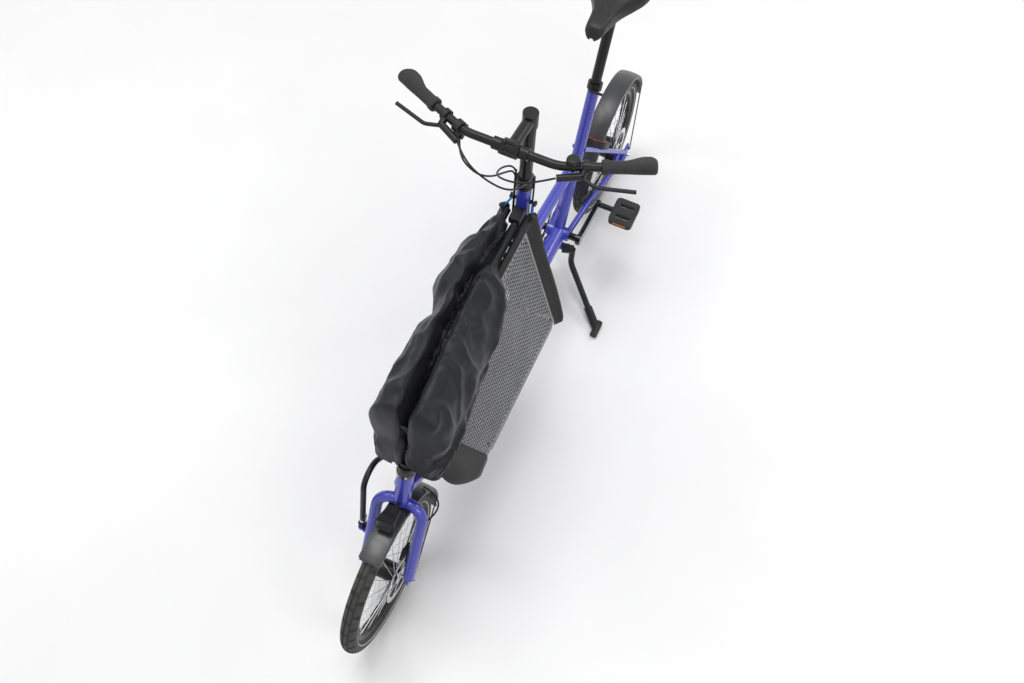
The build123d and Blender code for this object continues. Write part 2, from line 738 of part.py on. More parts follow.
def pedal(side):
    x, z = crank_end(side)
    y0 = side * (crank_y + 1)
    y1 = side * (pedal_y - pedal_w / 2)
    body = Pos(x, side * pedal_y, z) * Box(pedal_l, pedal_w, pedal_t)
    body = fillet(body.edges().filter_by(Axis.Z), 14)
    for k in (-1, 1):
        body -= Pos(x + k * 22, side * (pedal_y + 2), z) * Box(14, pedal_w - 34, pedal_t + 2)
    for k in (-1, 1):
        body -= Pos(x + k * pedal_l / 2, side * pedal_y, z) * Box(8, 46, 9)
    body += rod((x, y0, z), (x, y1 + side * 4, z), 6)
    body += rod((x, side * (crank_y + crank_t + 1), z), (x, y1 + side * 2, z), 9)
    return body


def pedal_reflectors(side):
    x, z = crank_end(side)
    lens = None
    for k in (-1, 1):
        bar = Pos(x + k * (pedal_l / 2 - 2), side * pedal_y, z) * Box(4 - 2 * run_gap, 45.6, 8.6)
        lens = bar if lens is None else lens + bar
    return lens


def chain():
    """One closed loop around ring and sprocket, its inner face just clear of both."""
    y0, y1 = ring_y - chain_t / 2, ring_y + chain_t / 2
    big, small = ring_r + 1, sprocket_r + 1

    def loop(grow):
        wide = rod((bb_x, y0, bb_z), (bb_x, y1, bb_z), big + grow)
        wide += rod((0, y0, tyre_r), (0, y1, tyre_r), small + grow)
        run = math.hypot(bb_x, bb_z - tyre_r)
        tilt = math.atan2(bb_z - tyre_r, bb_x)
        lean = math.asin((big - small) / run)
        corners = []
        for r, cx, cz in ((big + grow, bb_x, bb_z), (small + grow, 0, tyre_r)):
            for side in (1, -1):
                a = tilt + side * (math.pi / 2 + lean)
                corners.append((cx + r * math.cos(a), cz + r * math.sin(a)))
        a, b, c, d = corners
        return wide + slab([a, b, d, c], "y", y0, y1)

    return loop(chain_h) - loop(0)


# Stand

def stand_axis():
    """Left leg's pivot: turning about it carries the foot from the floor to beside the rear wheel."""
    down = Vector(stand_foot_x - stand_x, stand_foot_y - stand_y, 8 - stand_z)
    toe, drop = math.radians(stand_toe), math.radians(stand_drop)
    axis = Vector(-math.sin(toe) * math.cos(drop), math.cos(toe) * math.cos(drop), -math.sin(drop))
    return axis, down


def stand_leg():
    axis, down = stand_axis()
    pivot = Vector(stand_x, stand_y, stand_z)
    foot = pivot + down
    knee = Vector(stand_knee_x, stand_knee_y, stand_knee_z)
    along = (foot - knee).normalized()
    start = pivot + axis * (stand_leg_r + 1)
    leg = tube([tuple(start), tuple(knee), tuple(foot - along * 20)], stand_leg_r, stand_knee_radius)
    leg += Solid.make_cylinder(stand_root_r, stand_root_len, Plane(origin=pivot + axis * seat_gap, z_dir=axis))
    shoe = rod(foot - along * stand_foot_len, foot, stand_leg_r + 4)
    shoe += rod(foot + Vector(-26, 0, 4), foot + Vector(30, 0, 4), 12)
    leg += shoe
    return leg - Pos(foot.X, foot.Y, -50) * Box(300, 300, 100)


def stand_boss():
    axis, down = stand_axis()
    pivot = Vector(stand_x, stand_y, stand_z)
    boss = Solid.make_cylinder(16, stand_boss_len, Plane(origin=pivot - axis * stand_boss_len, z_dir=axis))
    reach = stand_y - 12
    boss -= rod((stand_x, -reach, stand_z), (stand_x, reach, stand_z), stand_bar_r + run_gap)
    return boss - rod((bb_x - 8, 0, bb_z), (stand_x, 0, stand_z), stand_bar_r + run_gap)


# Basket

def wall_point(share, x, lift=0.0):
    """A point on the left wall: share 0 at the hinge, 1 at the rim, lifted outwards from the wall."""
    dy, dz = rim_y - hinge_y, rim_z - floor_z
    n = math.hypot(dy, dz)
    return (x, hinge_y + share * dy + lift * dz / n, floor_z + share * dz - lift * dy / n)


panel_top = 1 - (rim_r + run_gap) / math.hypot(rim_y - hinge_y, rim_z - floor_z)
panel_top_front = rim_front - 12
panel_top_rear = rim_rear + 34


def panel():
    high = panel_top
    corners = [(0, floor_rear), (0, floor_front), (high, panel_top_front), (high, panel_top_rear)]
    face = make_face(Polyline(*[wall_point(s, x) for s, x in corners], close=True))
    plate = extrude(face, panel_t, dir=Vector(*wall_point(0, 0, 1)) - Vector(*wall_point(0, 0)))
    barrel = rod((floor_rear + 20, hinge_y, floor_z), (floor_front - 20, hinge_y, floor_z), hinge_r)
    return plate + barrel


def rim_tube():
    return rod((rim_rear, rim_y, rim_z), (rim_front, rim_y, rim_z), rim_r)


def basket_floor():
    plate = Pos((floor_rear + floor_front) / 2, 0, floor_z - floor_t / 2) * Box(
        floor_front - floor_rear, 2 * floor_half, floor_t
    )
    for sx in (1, -1):
        for sy in (1, -1):
            hole = Cylinder(load_hole_r, 3 * floor_t)
            plate -= Pos((floor_rear + floor_front) / 2 + sx * load_hole_x / 2, sy * load_hole_y / 2, floor_z) * hole
    return plate


def cover(side_out, crest, low_edge):
    """Half of the slack cover: over the rim, bulging outwards and down to its edge on the wall."""
    wall = math.hypot(rim_y - hinge_y, rim_z - floor_z)
    faces = []
    for k, (out_y, top_z, low_z) in enumerate(zip(side_out, crest, low_edge)):
        x = cover_rear + (cover_front - cover_rear) * k / (len(crest) - 1)
        low = (low_z - floor_z) / (rim_z - floor_z)
        clear = panel_t + cover_t
        round_rim = rim_r + cover_t + 1
        outline = [(cover_t, top_z - 45), (0.5 * out_y, top_z), (0.9 * out_y, top_z - 45), (out_y, top_z - 110)]
        outline += [wall_point(low, x, clear + 14)[1:], wall_point(low, x, clear)[1:]]
        outline += [wall_point(1 - 1.8 * round_rim / wall, x, clear)[1:]]
        outline += [wall_point(1 - 0.7 * round_rim / wall, x, round_rim)[1:], wall_point(1.01, x, round_rim)[1:]]
        outline += [(rim_y, rim_z + round_rim), (cover_t, rim_z + round_rim)]
        faces.append(make_face(Polyline(*[(x, y, z) for y, z in outline], close=True)))
    return loft(faces, ruled=True)


def gusset(levels):
    """A soft end wall between basket wall and middle: a bent strip in plan at each level."""
    faces = []
    for z, points in levels:
        faces.append(make_face(Polyline(*[(x, y, z) for x, y in points], close=True)))
    return loft(faces, ruled=True)


def wall_edge(z, front):
    share = max(0, (z - floor_z) / (rim_z - floor_z))
    y = wall_point(share, 0)[1]
    if front:
        return floor_front + (panel_top_front - floor_front) * share / panel_top, y
    return floor_rear + (panel_top_rear - floor_rear) * share / panel_top, y


def front_gusset(levels):
    rows = []
    for z, bulge, inner in levels:
        x, y = wall_edge(z, True)
        t = gusset_t
        rows.append((z, [
            (x + seat_gap, y + 2), (x + 0.7 * bulge, y + 1), (x + bulge, 0.55 * (y + inner)), (x + 0.8 * bulge, inner),
            (x + 0.8 * bulge - t, inner), (x + bulge - t, 0.5 * (y + inner)), (x + 0.7 * bulge - t, y - t), (x + seat_gap, y - t),
        ]))
    return gusset(rows)


def rear_gusset(levels):
    rows = []
    for z, bulge, inner in levels:
        x, y = wall_edge(z, False)
        t = gusset_t
        rows.append((z, [
            (x - seat_gap, y + 3), (x - 0.5 * bulge, y + 3), (x - bulge, y - 8), (x - bulge, y - 8 - t),
            (x - 0.4 * bulge, inner), (x - seat_gap, inner), (x - seat_gap, inner + t), (x - 0.4 * bulge, y - t),
            (x - seat_gap, y - t),
        ]))
    return gusset(rows)


def build():
    out("frame", frame())
    seat_parts()
    out("saddle", saddle())
    for name, x, body_r in (("rear", 0, hub_r_rear), ("front", wheelbase, hub_r_front)):
        out(f"tyre_{name}", tyre(x))
        out(f"rim_{name}", wheel_rim(x))
        out(f"spokes_{name}", spokes(x, body_r + 7))
        out(f"hub_{name}", hub(x, body_r))
        out(f"disc_{name}", brake_disc(x))
        half = dropout_half + 16 if name == "rear" else fork_axle_half
        axle = rod((x, -half, tyre_r), (x, half, tyre_r), axle_r)
        out(f"axle_{name}", axle)
    rear = fender(0, fender_rear_first, fender_rear_last) + mud_flap(0, fender_rear_last)
    out("fender_rear", rear + fender_stays(0, fender_rear_last - 4, 22, dropout_half + dropout_t / 2))
    front = fender(wheelbase, fender_front_first, fender_front_last) + mud_flap(wheelbase, fender_front_last)
    out("fender_front", front + fender_stays(wheelbase, fender_front_last - 4, 12, fork_leg_y + 5))
    out("caliper_rear", caliper(0, caliper_rear_angle))
    out("caliper_front", caliper(wheelbase, caliper_front_angle))
    out("fork", fork())
    out("drag_link", drag_link())
    cockpit()
    out("crankset", crankset())
    for side, name in ((1, "left"), (-1, "right")):
        out(f"pedal_{name}", pedal(side))
        out(f"pedal_reflectors_{name}", pedal_reflectors(side))
    out("chain", chain())
    leg, wall, rim = stand_leg(), panel(), rim_tube()
    out("stand_leg_left", leg)
    out("stand_leg_right", mirror_y(leg))
    boss = stand_boss()
    out("stand_bosses", Compound([boss, mirror_y(boss)]))
    out("basket_floor", basket_floor())
    out("panel_left", wall)
    out("panel_right", mirror_y(wall))
    out("basket_rim_left", rim)
    out("basket_rim_right", mirror_y(rim))
    crest = [912, 938, 960, 946, 920, 908]
    out("cover_left", cover([72, 92, 100, 104, 112, 96], crest, [760, 712, 700, 690, 660, 640]))
    out("cover_right", mirror_y(cover([92, 165, 118, 140, 150, 104], crest, [700, 640, 690, 680, 650, 640])))
    left_front = front_gusset([(388, 62, 40), (470, 84, 40), (560, 66, 12), (700, 50, 2), (820, 26, 2)])
    right_front = front_gusset([(512, 14, 60), (600, 40, 12), (700, 50, 2), (820, 26, 2)])
    rear = rear_gusset([(395, 46, 60), (560, 60, 40), (700, 60, 32), (800, 52, 30)])
    out("gussets_left", Compound([left_front, rear]))
    out("gussets_right", mirror_y(Compound([right_front, rear])))
    out("headsets", headsets())
    out("steerer_cap", steerer_cap())
    house, lens = headlight()
    out("headlight", house)
    out("headlight_lens", lens)
    out("ring_lock", ring_lock())
    out("rim_latch", rim_latch())
    out("bell", bell())
    out("shifter", shifter())
    out("hoses_bars", hoses_bars())
    out("hoses_frame", hoses_frame())
    out("hose_front", hose_front())


build()
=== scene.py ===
import bpy
import math
from mathutils import Matrix, Vector, noise


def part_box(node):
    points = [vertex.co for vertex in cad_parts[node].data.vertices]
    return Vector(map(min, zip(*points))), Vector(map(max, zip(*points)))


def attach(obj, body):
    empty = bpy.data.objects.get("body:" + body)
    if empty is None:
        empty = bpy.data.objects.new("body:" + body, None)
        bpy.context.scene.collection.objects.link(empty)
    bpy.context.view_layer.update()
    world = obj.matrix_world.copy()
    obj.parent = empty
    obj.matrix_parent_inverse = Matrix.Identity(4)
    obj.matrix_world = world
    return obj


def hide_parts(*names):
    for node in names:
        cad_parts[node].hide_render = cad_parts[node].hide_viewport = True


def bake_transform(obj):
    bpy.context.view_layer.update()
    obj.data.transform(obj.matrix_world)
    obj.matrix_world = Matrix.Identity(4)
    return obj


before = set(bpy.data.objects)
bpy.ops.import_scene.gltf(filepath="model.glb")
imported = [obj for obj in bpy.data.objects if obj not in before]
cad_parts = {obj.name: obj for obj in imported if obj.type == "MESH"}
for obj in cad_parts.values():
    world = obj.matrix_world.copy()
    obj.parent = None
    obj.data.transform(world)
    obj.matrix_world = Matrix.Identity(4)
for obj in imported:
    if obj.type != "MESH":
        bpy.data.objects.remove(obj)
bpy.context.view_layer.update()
rearX = (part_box("axle_rear")[0][0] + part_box("axle_rear")[1][0]) / 2  # rear axle in the model's frame
print("frame loaded", len(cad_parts), "nodes, rear axle at", round(rearX, 4))

bikeSize = {
    "tyreR": 242, "wheelbase": 1602, "hingeY": 138, "floorZ": 418, "floorRear": 785, "floorFront": 1242,
    "rimY": 32, "rimZ": 845, "rimR": 11, "columnX": 711, "columnZ": 1000, "columnAngle": 86,
}


def bike(x, y, z):  # millimetres from the rear axle on the floor, to the model's metres
    return Vector((rearX + x / 1000, y / 1000, z / 1000))


def onWheel(x, angle, r, y=0):  # degrees around the axle at x, r from its centre
    a = math.radians(angle)
    return bike(x + r * math.cos(a), y, bikeSize["tyreR"] + r * math.sin(a))


def columnAt(z, fore=0, y=0):  # on the steering column's axis, or beside it
    t = math.tan(math.radians(bikeSize["columnAngle"]))
    return bike(bikeSize["columnX"] + (bikeSize["columnZ"] - z) / t + fore, y, z)


def wallY(z):  # left wall's height to its distance from the middle
    share = (z - bikeSize["floorZ"]) / (bikeSize["rimZ"] - bikeSize["floorZ"])
    return bikeSize["hingeY"] + share * (bikeSize["rimY"] - bikeSize["hingeY"])


# finishes

def newFinish(name, colour, roughness, metallic=0.0, mirror=0.5):
    mat = bpy.data.materials.new(name)
    mat.use_nodes = True
    shader = mat.node_tree.nodes["Principled BSDF"]
    shader.inputs["Base Color"].default_value = (*colour, 1)
    shader.inputs["Roughness"].default_value = roughness
    shader.inputs["Metallic"].default_value = metallic
    shader.inputs["Specular IOR Level"].default_value = mirror
    return mat, mat.node_tree, shader


def addNode(tree, kind, **settings):
    node = tree.nodes.new(kind)
    for key, value in settings.items():
        setattr(node, key, value)
    return node


def objectCoords(tree, turn=(0, 0, 0), place=(0, 0, 0)):
    coords = addNode(tree, "ShaderNodeTexCoord")
    mapping = addNode(tree, "ShaderNodeMapping")
    mapping.inputs["Rotation"].default_value = turn
    mapping.inputs["Location"].default_value = place
    tree.links.new(coords.outputs["Object"], mapping.inputs["Vector"])
    return mapping.outputs["Vector"]


def splitAxes(tree, vector):
    split = addNode(tree, "ShaderNodeSeparateXYZ")
    tree.links.new(vector, split.inputs["Vector"])
    return [split.outputs[axis] for axis in "XYZ"]


def noiseAt(tree, vector, scale, detail=3.0):
    tex = addNode(tree, "ShaderNodeTexNoise")
    tex.inputs["Scale"].default_value = scale
    tex.inputs["Detail"].default_value = detail
    tex.inputs["Roughness"].default_value = 0.55
    tree.links.new(vector, tex.inputs["Vector"])
    return tex.outputs["Fac"]


def rampInto(tree, socket, fac, low, high):  # two colours, each with its place on the ramp
    node = addNode(tree, "ShaderNodeValToRGB")
    for element, (place, colour) in zip(node.color_ramp.elements, (low, high)):
        element.position = place
        element.color = (*colour, 1)
    tree.links.new(fac, node.inputs["Fac"])
    tree.links.new(node.outputs["Color"], socket)


def math2(tree, operation, *values):
    node = addNode(tree, "ShaderNodeMath", operation=operation)
    for socket, value in zip(node.inputs, values):
        if isinstance(value, (int, float)):
            socket.default_value = value
        else:
            tree.links.new(value, socket)
    return node.outputs[0]


def bumpInto(tree, shader, height, strength, distance, before=None):
    bump = addNode(tree, "ShaderNodeBump")
    bump.inputs["Strength"].default_value = strength
    bump.inputs["Distance"].default_value = distance
    tree.links.new(height, bump.inputs["Height"])
    if before is not None:
        tree.links.new(before, bump.inputs["Normal"])
    tree.links.new(bump.outputs["Normal"], shader.inputs["Normal"])
    return bump.outputs["Normal"]


def shade(colour, k):
    return tuple(min(1, c * k) for c in colour)


def varied(name, colour, roughness, metallic=0.0, *, patch, spread, grain, grainBump, coat=0.0, depth=0.0002,
           mirror=0.5):  # cloudy tone and gloss, with a fine grain
    mat, tree, shader = newFinish(name, colour, roughness, metallic, mirror)
    vector = objectCoords(tree)
    rampInto(tree, shader.inputs["Base Color"], noiseAt(tree, vector, patch),
             (0.3, shade(colour, 1 - spread)), (0.7, shade(colour, 1 + spread)))
    shiny, dull = max(0.02, roughness - 0.1), min(1, roughness + 0.1)
    rampInto(tree, shader.inputs["Roughness"], noiseAt(tree, vector, patch * 2.3),
             (0.3, (shiny, shiny, shiny)), (0.75, (dull, dull, dull)))
    bumpInto(tree, shader, noiseAt(tree, vector, grain, 2.0), grainBump, depth)
    if coat:
        shader.inputs["Coat Weight"].default_value = coat
        shader.inputs["Coat Roughness"].default_value = 0.08
    return mat


def wovenCloth(name, colour, pitch, roughness, sheen, depth, patch=9, spread=0.35):
    mat, tree, shader = newFinish(name, colour, roughness, mirror=0.22)
    vector = objectCoords(tree, turn=(0.35, 0.2, 0.6))  # threads lie aslant on every side
    threads = [math2(tree, "MULTIPLY", axis, 2 * math.pi / pitch) for axis in splitAxes(tree, vector)]
    waveX, waveY, waveZ = [math2(tree, "SINE", thread) for thread in threads]
    weave = math2(tree, "MAXIMUM", math2(tree, "MULTIPLY", waveX, waveY), waveZ)
    rampInto(tree, shader.inputs["Base Color"], noiseAt(tree, vector, patch, 5.0),
             (0.3, shade(colour, 1 - spread)), (0.72, shade(colour, 1 + spread)))
    first = bumpInto(tree, shader, weave, 0.25, pitch * 0.2)
    bumpInto(tree, shader, noiseAt(tree, vector, 60, 4.0), 0.5, depth, first)
    shader.inputs["Sheen Weight"].default_value = sheen
    shader.inputs["Sheen Roughness"].default_value = 0.35
    return mat


bluePaint = varied("bluePaint", (0.038, 0.046, 0.43), 0.3, patch=4, spread=0.04, grain=700, grainBump=0.02,
                   coat=0.5, depth=0.0001)
satinBlack = varied("satinBlack", (0.009, 0.009, 0.0095), 0.36, patch=22, spread=0.2, grain=1200,
                    grainBump=0.1, mirror=0.28)
glossBlack = varied("glossBlack", (0.008, 0.008, 0.0085), 0.18, patch=20, spread=0.15, grain=600,
                    grainBump=0.04, coat=0.5, mirror=0.28)
blackPlastic = varied("blackPlastic", (0.012, 0.012, 0.0125), 0.48, patch=30, spread=0.2, grain=1800,
                      grainBump=0.25, mirror=0.28)
fenderPlastic = varied("fenderPlastic", (0.024, 0.0245, 0.027), 0.34, patch=12, spread=0.15, grain=1500,
                       grainBump=0.1)
grayAlloy = varied("grayAlloy", (0.235, 0.235, 0.24), 0.44, 0.5, patch=14, spread=0.12, grain=1600,
                   grainBump=0.1)
brightSteel = varied("brightSteel", (0.62, 0.62, 0.63), 0.25, 1.0, patch=40, spread=0.12, grain=900,
                     grainBump=0.05)
rimBlack = varied("rimBlack", (0.022, 0.022, 0.024), 0.35, 0.3, patch=26, spread=0.2, grain=900,
                  grainBump=0.08)
hoseBlack = varied("hoseBlack", (0.012, 0.012, 0.012), 0.4, patch=40, spread=0.2, grain=700, grainBump=0.05,
                   mirror=0.28)
amber = varied("amber", (0.75, 0.19, 0.02), 0.15, patch=40, spread=0.15, grain=420, grainBump=0.4)
lockRed = varied("lockRed", (0.62, 0.02, 0.02), 0.4, patch=30, spread=0.1, grain=900, grainBump=0.1)
saddleSkin = varied("saddleSkin", (0.014, 0.014, 0.015), 0.45, patch=16, spread=0.2, grain=520,
                    grainBump=0.35, mirror=0.28)
elasticBlue = wovenCloth("elasticBlue", (0.02, 0.17, 0.46), 0.0012, 0.6, 0.2, 0.0002, patch=60)
nylonCloth = wovenCloth("nylonCloth", (0.0118, 0.0123, 0.0165), 0.0011, 0.42, 0.07, 0.0009)
tarpCloth = wovenCloth("tarpCloth", (0.017, 0.017, 0.0175), 0.0016, 0.6, 0.08, 0.0007, patch=12, spread=0.2)

tyreLook = {
    "rubber": (0.02, 0.02, 0.0205), "dark": (0.024, 0.0235, 0.023), "dusty": (0.05, 0.048, 0.046),
    "line": (0.42, 0.42, 0.41), "lineR": 0.2115, "lineHalf": 0.0016,
}


def tyreFinish(name, centreX):  # dusty black rubber with a bright line on the side wall
    k = tyreLook
    mat, tree, shader = newFinish(name, k["rubber"], 0.7)
    vector = objectCoords(tree, place=(-(rearX + centreX / 1000), 0, -bikeSize["tyreR"] / 1000))
    x, _, z = splitAxes(tree, vector)
    reach = math2(tree, "SQRT", math2(tree, "ADD", math2(tree, "POWER", x, 2), math2(tree, "POWER", z, 2)))
    away = math2(tree, "ABSOLUTE", math2(tree, "SUBTRACT", reach, k["lineR"]))
    mix = addNode(tree, "ShaderNodeMix", data_type="RGBA")
    tree.links.new(math2(tree, "LESS_THAN", away, k["lineHalf"]), mix.inputs["Factor"])
    rampInto(tree, mix.inputs[6], noiseAt(tree, vector, 55, 4.0), (0.3, k["dark"]), (0.75, k["dusty"]))
    mix.inputs[7].default_value = (*k["line"], 1)
    tree.links.new(mix.outputs[2], shader.inputs["Base Color"])
    bumpInto(tree, shader, noiseAt(tree, vector, 700, 2.0), 0.2, 0.0003)
    return mat


def gripFinish(name, knurl=1600):  # fine raised diamonds on rubber
    mat, tree, shader = newFinish(name, (0.016, 0.016, 0.0165), 0.62)
    vector = objectCoords(tree, turn=(0, 0, 0.4))
    x, y, _ = splitAxes(tree, vector)
    slants = [math2(tree, "MULTIPLY", math2(tree, way, x, y), knurl) for way in ("ADD", "SUBTRACT")]
    a, b = [math2(tree, "SINE", slant) for slant in slants]
    bumpInto(tree, shader, math2(tree, "MULTIPLY", a, b), 0.6, 0.0008)
    rampInto(tree, shader.inputs["Base Color"], noiseAt(tree, vector, 40),
             (0.3, (0.011, 0.011, 0.011)), (0.7, (0.022, 0.022, 0.023)))
    return mat


def lensFinish(name):  # clear plastic with fine ribs
    mat, tree, shader = newFinish(name, (0.07, 0.074, 0.08), 0.08)
    shader.inputs["Transmission Weight"].default_value = 0.5
    shader.inputs["IOR"].default_value = 1.45
    wave = addNode(tree, "ShaderNodeTexWave")
    wave.inputs["Scale"].default_value = 90
    tree.links.new(objectCoords(tree), wave.inputs["Vector"])
    bumpInto(tree, shader, wave.outputs["Fac"], 0.3, 0.0006)
    return mat


tyreRear = tyreFinish("tyreRear", 0)
tyreFront = tyreFinish("tyreFront", bikeSize["wheelbase"])
gripRubber = gripFinish("gripRubber")
clearLens = lensFinish("clearLens")

finishOf = (
    (bluePaint, "frame fork"), (fenderPlastic, "fender_rear fender_front"), (gripRubber, "grips"),
    (tyreRear, "tyre_rear"), (tyreFront, "tyre_front"), (clearLens, "headlight_lens"), (saddleSkin, "saddle"),
    (amber, "pedal_reflectors_left pedal_reflectors_right"), (nylonCloth, "cover_left cover_right"),
    (tarpCloth, "gussets_left gussets_right"), (grayAlloy, "panel_left panel_right basket_floor"),
    (brightSteel, "axle_rear axle_front spokes_rear spokes_front disc_rear disc_front chain"),
    (rimBlack, "rim_rear rim_front"), (hoseBlack, "hoses_frame hoses_bars hose_front"),
    (glossBlack, "crankset"),
    (blackPlastic, "pedal_left pedal_right ring_lock rim_latch shifter headlight"),
)
nodeFinish = {node: finish for finish, names in finishOf for node in names.split()}
for name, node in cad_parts.items():
    node.data.materials.clear()
    node.data.materials.append(nodeFinish.get(name, satinBlack))
print("finishes on", len(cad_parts), "nodes")


# shop helpers

def clearSelection():
    if bpy.context.object and bpy.context.object.mode != "OBJECT":
        bpy.ops.object.mode_set(mode="OBJECT")
    bpy.ops.object.select_all(action="DESELECT")


def pickOnly(obj):
    clearSelection()
    obj.select_set(True)
    bpy.context.view_layer.objects.active = obj


def activeNamed(name):
    obj = bpy.context.object
    obj.name = name
    obj.data.name = name
    return obj


def applyAll(obj):
    pickOnly(obj)
    for mod in list(obj.modifiers):
        bpy.ops.object.modifier_apply(modifier=mod.name)
    bpy.ops.object.transform_apply(location=True, rotation=True, scale=True)


def finishPiece(obj, material, body, angle=40):
    applyAll(obj)
    bpy.ops.object.shade_smooth_by_angle(angle=math.radians(angle))
    obj.data.materials.clear()
    obj.data.materials.append(material)
    if body:
        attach(obj, body)
    return obj


def pickFaces(obj, test):
    bpy.ops.object.mode_set(mode="OBJECT")
    bpy.context.tool_settings.mesh_select_mode = (False, False, True)
    for vert in obj.data.vertices:
        vert.select = False
    for edge in obj.data.edges:
        edge.select = False
    for face in obj.data.polygons:
        face.select = bool(test(face))
    bpy.ops.object.mode_set(mode="EDIT")
    bpy.ops.mesh.select_mode(type="FACE")


def gridSheet(name, across, along, shape):  # a grid whose points shape(u, v) puts in place
    clearSelection()
    bpy.ops.mesh.primitive_grid_add(x_subdivisions=across, y_subdivisions=along, size=1)
    obj = activeNamed(name)
    for vert in obj.data.vertices:
        vert.co = shape(vert.co.x + 0.5, vert.co.y + 0.5)
    return obj


def addModifier(obj, kind, **settings):
    mod = obj.modifiers.new(kind.title(), kind)
    for key, value in settings.items():
        setattr(mod, key, value)


def thicken(obj, thick, offset=0):
    addModifier(obj, "SOLIDIFY", thickness=thick / 1000, offset=offset)


def bevelEdges(obj, width, segments=3):
    addModifier(obj, "BEVEL", width=width, segments=segments, limit_method="ANGLE",
                angle_limit=math.radians(50))


def easeStep(low, high, t):
    t = max(0.0, min(1.0, (t - low) / (high - low)))
    return t * t * (3 - 2 * t)


def smoothThrough(points, t):  # a smooth line through the points, t from 0 to 1
    n = len(points) - 1
    k = min(int(t * n), n - 1)
    f = t * n - k
    p1, p2 = Vector(points[k]), Vector(points[k + 1])
    p0 = Vector(points[k - 1]) if k else p1 * 2 - p2
    p3 = Vector(points[k + 2]) if k + 2 <= n else p2 * 2 - p1
    square, cube = 2 * p0 - 5 * p1 + 4 * p2 - p3, 3 * p1 - p0 - 3 * p2 + p3
    return 0.5 * (2 * p1 + (p2 - p0) * f + square * f * f + cube * f ** 3)


def alongList(values, t):
    return smoothThrough([(v, 0) for v in values], t)[0]


def joinPieces(name, objs):
    clearSelection()
    for obj in objs:
        obj.select_set(True)
    bpy.context.view_layer.objects.active = objs[0]
    bpy.ops.object.join()
    return activeNamed(name)


def standAt(place, way):  # turns z along way
    return Matrix.Translation(place) @ way.to_track_quat("Z", "Y").to_matrix().to_4x4()


def addRod(a, b, r, sides=20, bevel=0.0):
    clearSelection()
    a, b = Vector(a), Vector(b)
    bpy.ops.mesh.primitive_cylinder_add(vertices=sides, radius=r, depth=(b - a).length)
    obj = bpy.context.object
    obj.matrix_world = standAt((a + b) / 2, b - a)
    if bevel:
        bevelEdges(obj, bevel)
    applyAll(obj)
    return obj


def bentWire(name, points, r):  # round wire on a smooth curve drawn by the given points
    curve = bpy.data.curves.new(name, "CURVE")
    curve.dimensions = "3D"
    curve.bevel_depth = r
    curve.bevel_resolution = 3
    curve.use_fill_caps = True
    spline = curve.splines.new("NURBS")
    spline.points.add(len(points) - 1)
    for point, place in zip(spline.points, points):
        point.co = (*place, 1)
    spline.order_u = 3
    spline.use_endpoint_u = True
    obj = bpy.data.objects.new(name, curve)
    bpy.context.collection.objects.link(obj)
    pickOnly(obj)
    bpy.ops.object.convert(target="MESH")
    return activeNamed(name)


# slack cover, two lobes with a valley between; lists run from the rear to the front

coverShape = {
    "rear": 796, "front": 1402, "across": 110, "along": 60, "thick": 1.4, "edgeLift": 8,
    "leftOut": [40, 46, 72, 90, 92, 94, 97, 103, 106, 90],
    "leftLow": [800, 785, 745, 704, 702, 698, 668, 626, 628, 612],
    "rightOut": [88, 96, 112, 114, 78, 92, 100, 108, 108, 92],
    "rightLow": [740, 690, 660, 680, 712, 690, 670, 645, 628, 618],
    "crest": [900, 920, 934, 938, 932, 926, 919, 912, 902, 888],
    "valley": [852, 852, 858, 864, 860, 848, 822, 786, 716, 628],
    "valleyY": [-2, -8, -14, -16, -15, -13, -10, -6, -3, -2],
    "roof": [(0.1, 38), (0.28, 0), (0.7, 34), (1, 108)],  # share of the width, drop below the crest
    "cheekDrop": 115, "cheekOut": 14,
    "strip": [(2, 7), (7, 15), (11, 16), (15, 10), (18, 2), (19.5, -5)],  # y, height over the valley
    "nose": 36, "noseFrom": 0.9, "noseRun": 0.1, "noseMid": 0.3, "noseLift": 6, "noseTurn": 0.998,
    "gatherAt": (26, 838), "gatherBy": 0.3, "gatherRun": 0.07,
    "fold": 9.0, "crumple": 4.5, "crush": 24, "ripple": 4, "deepest": -19, "highest": 17,
    "slack": 0.16, "frames": 26, "cap": 0.017,
    "hem": 2.2, "hemFrom": 0.32, "hemRun": 0.68, "hemSteps": 40, "button": (0.42, 0.93),
}


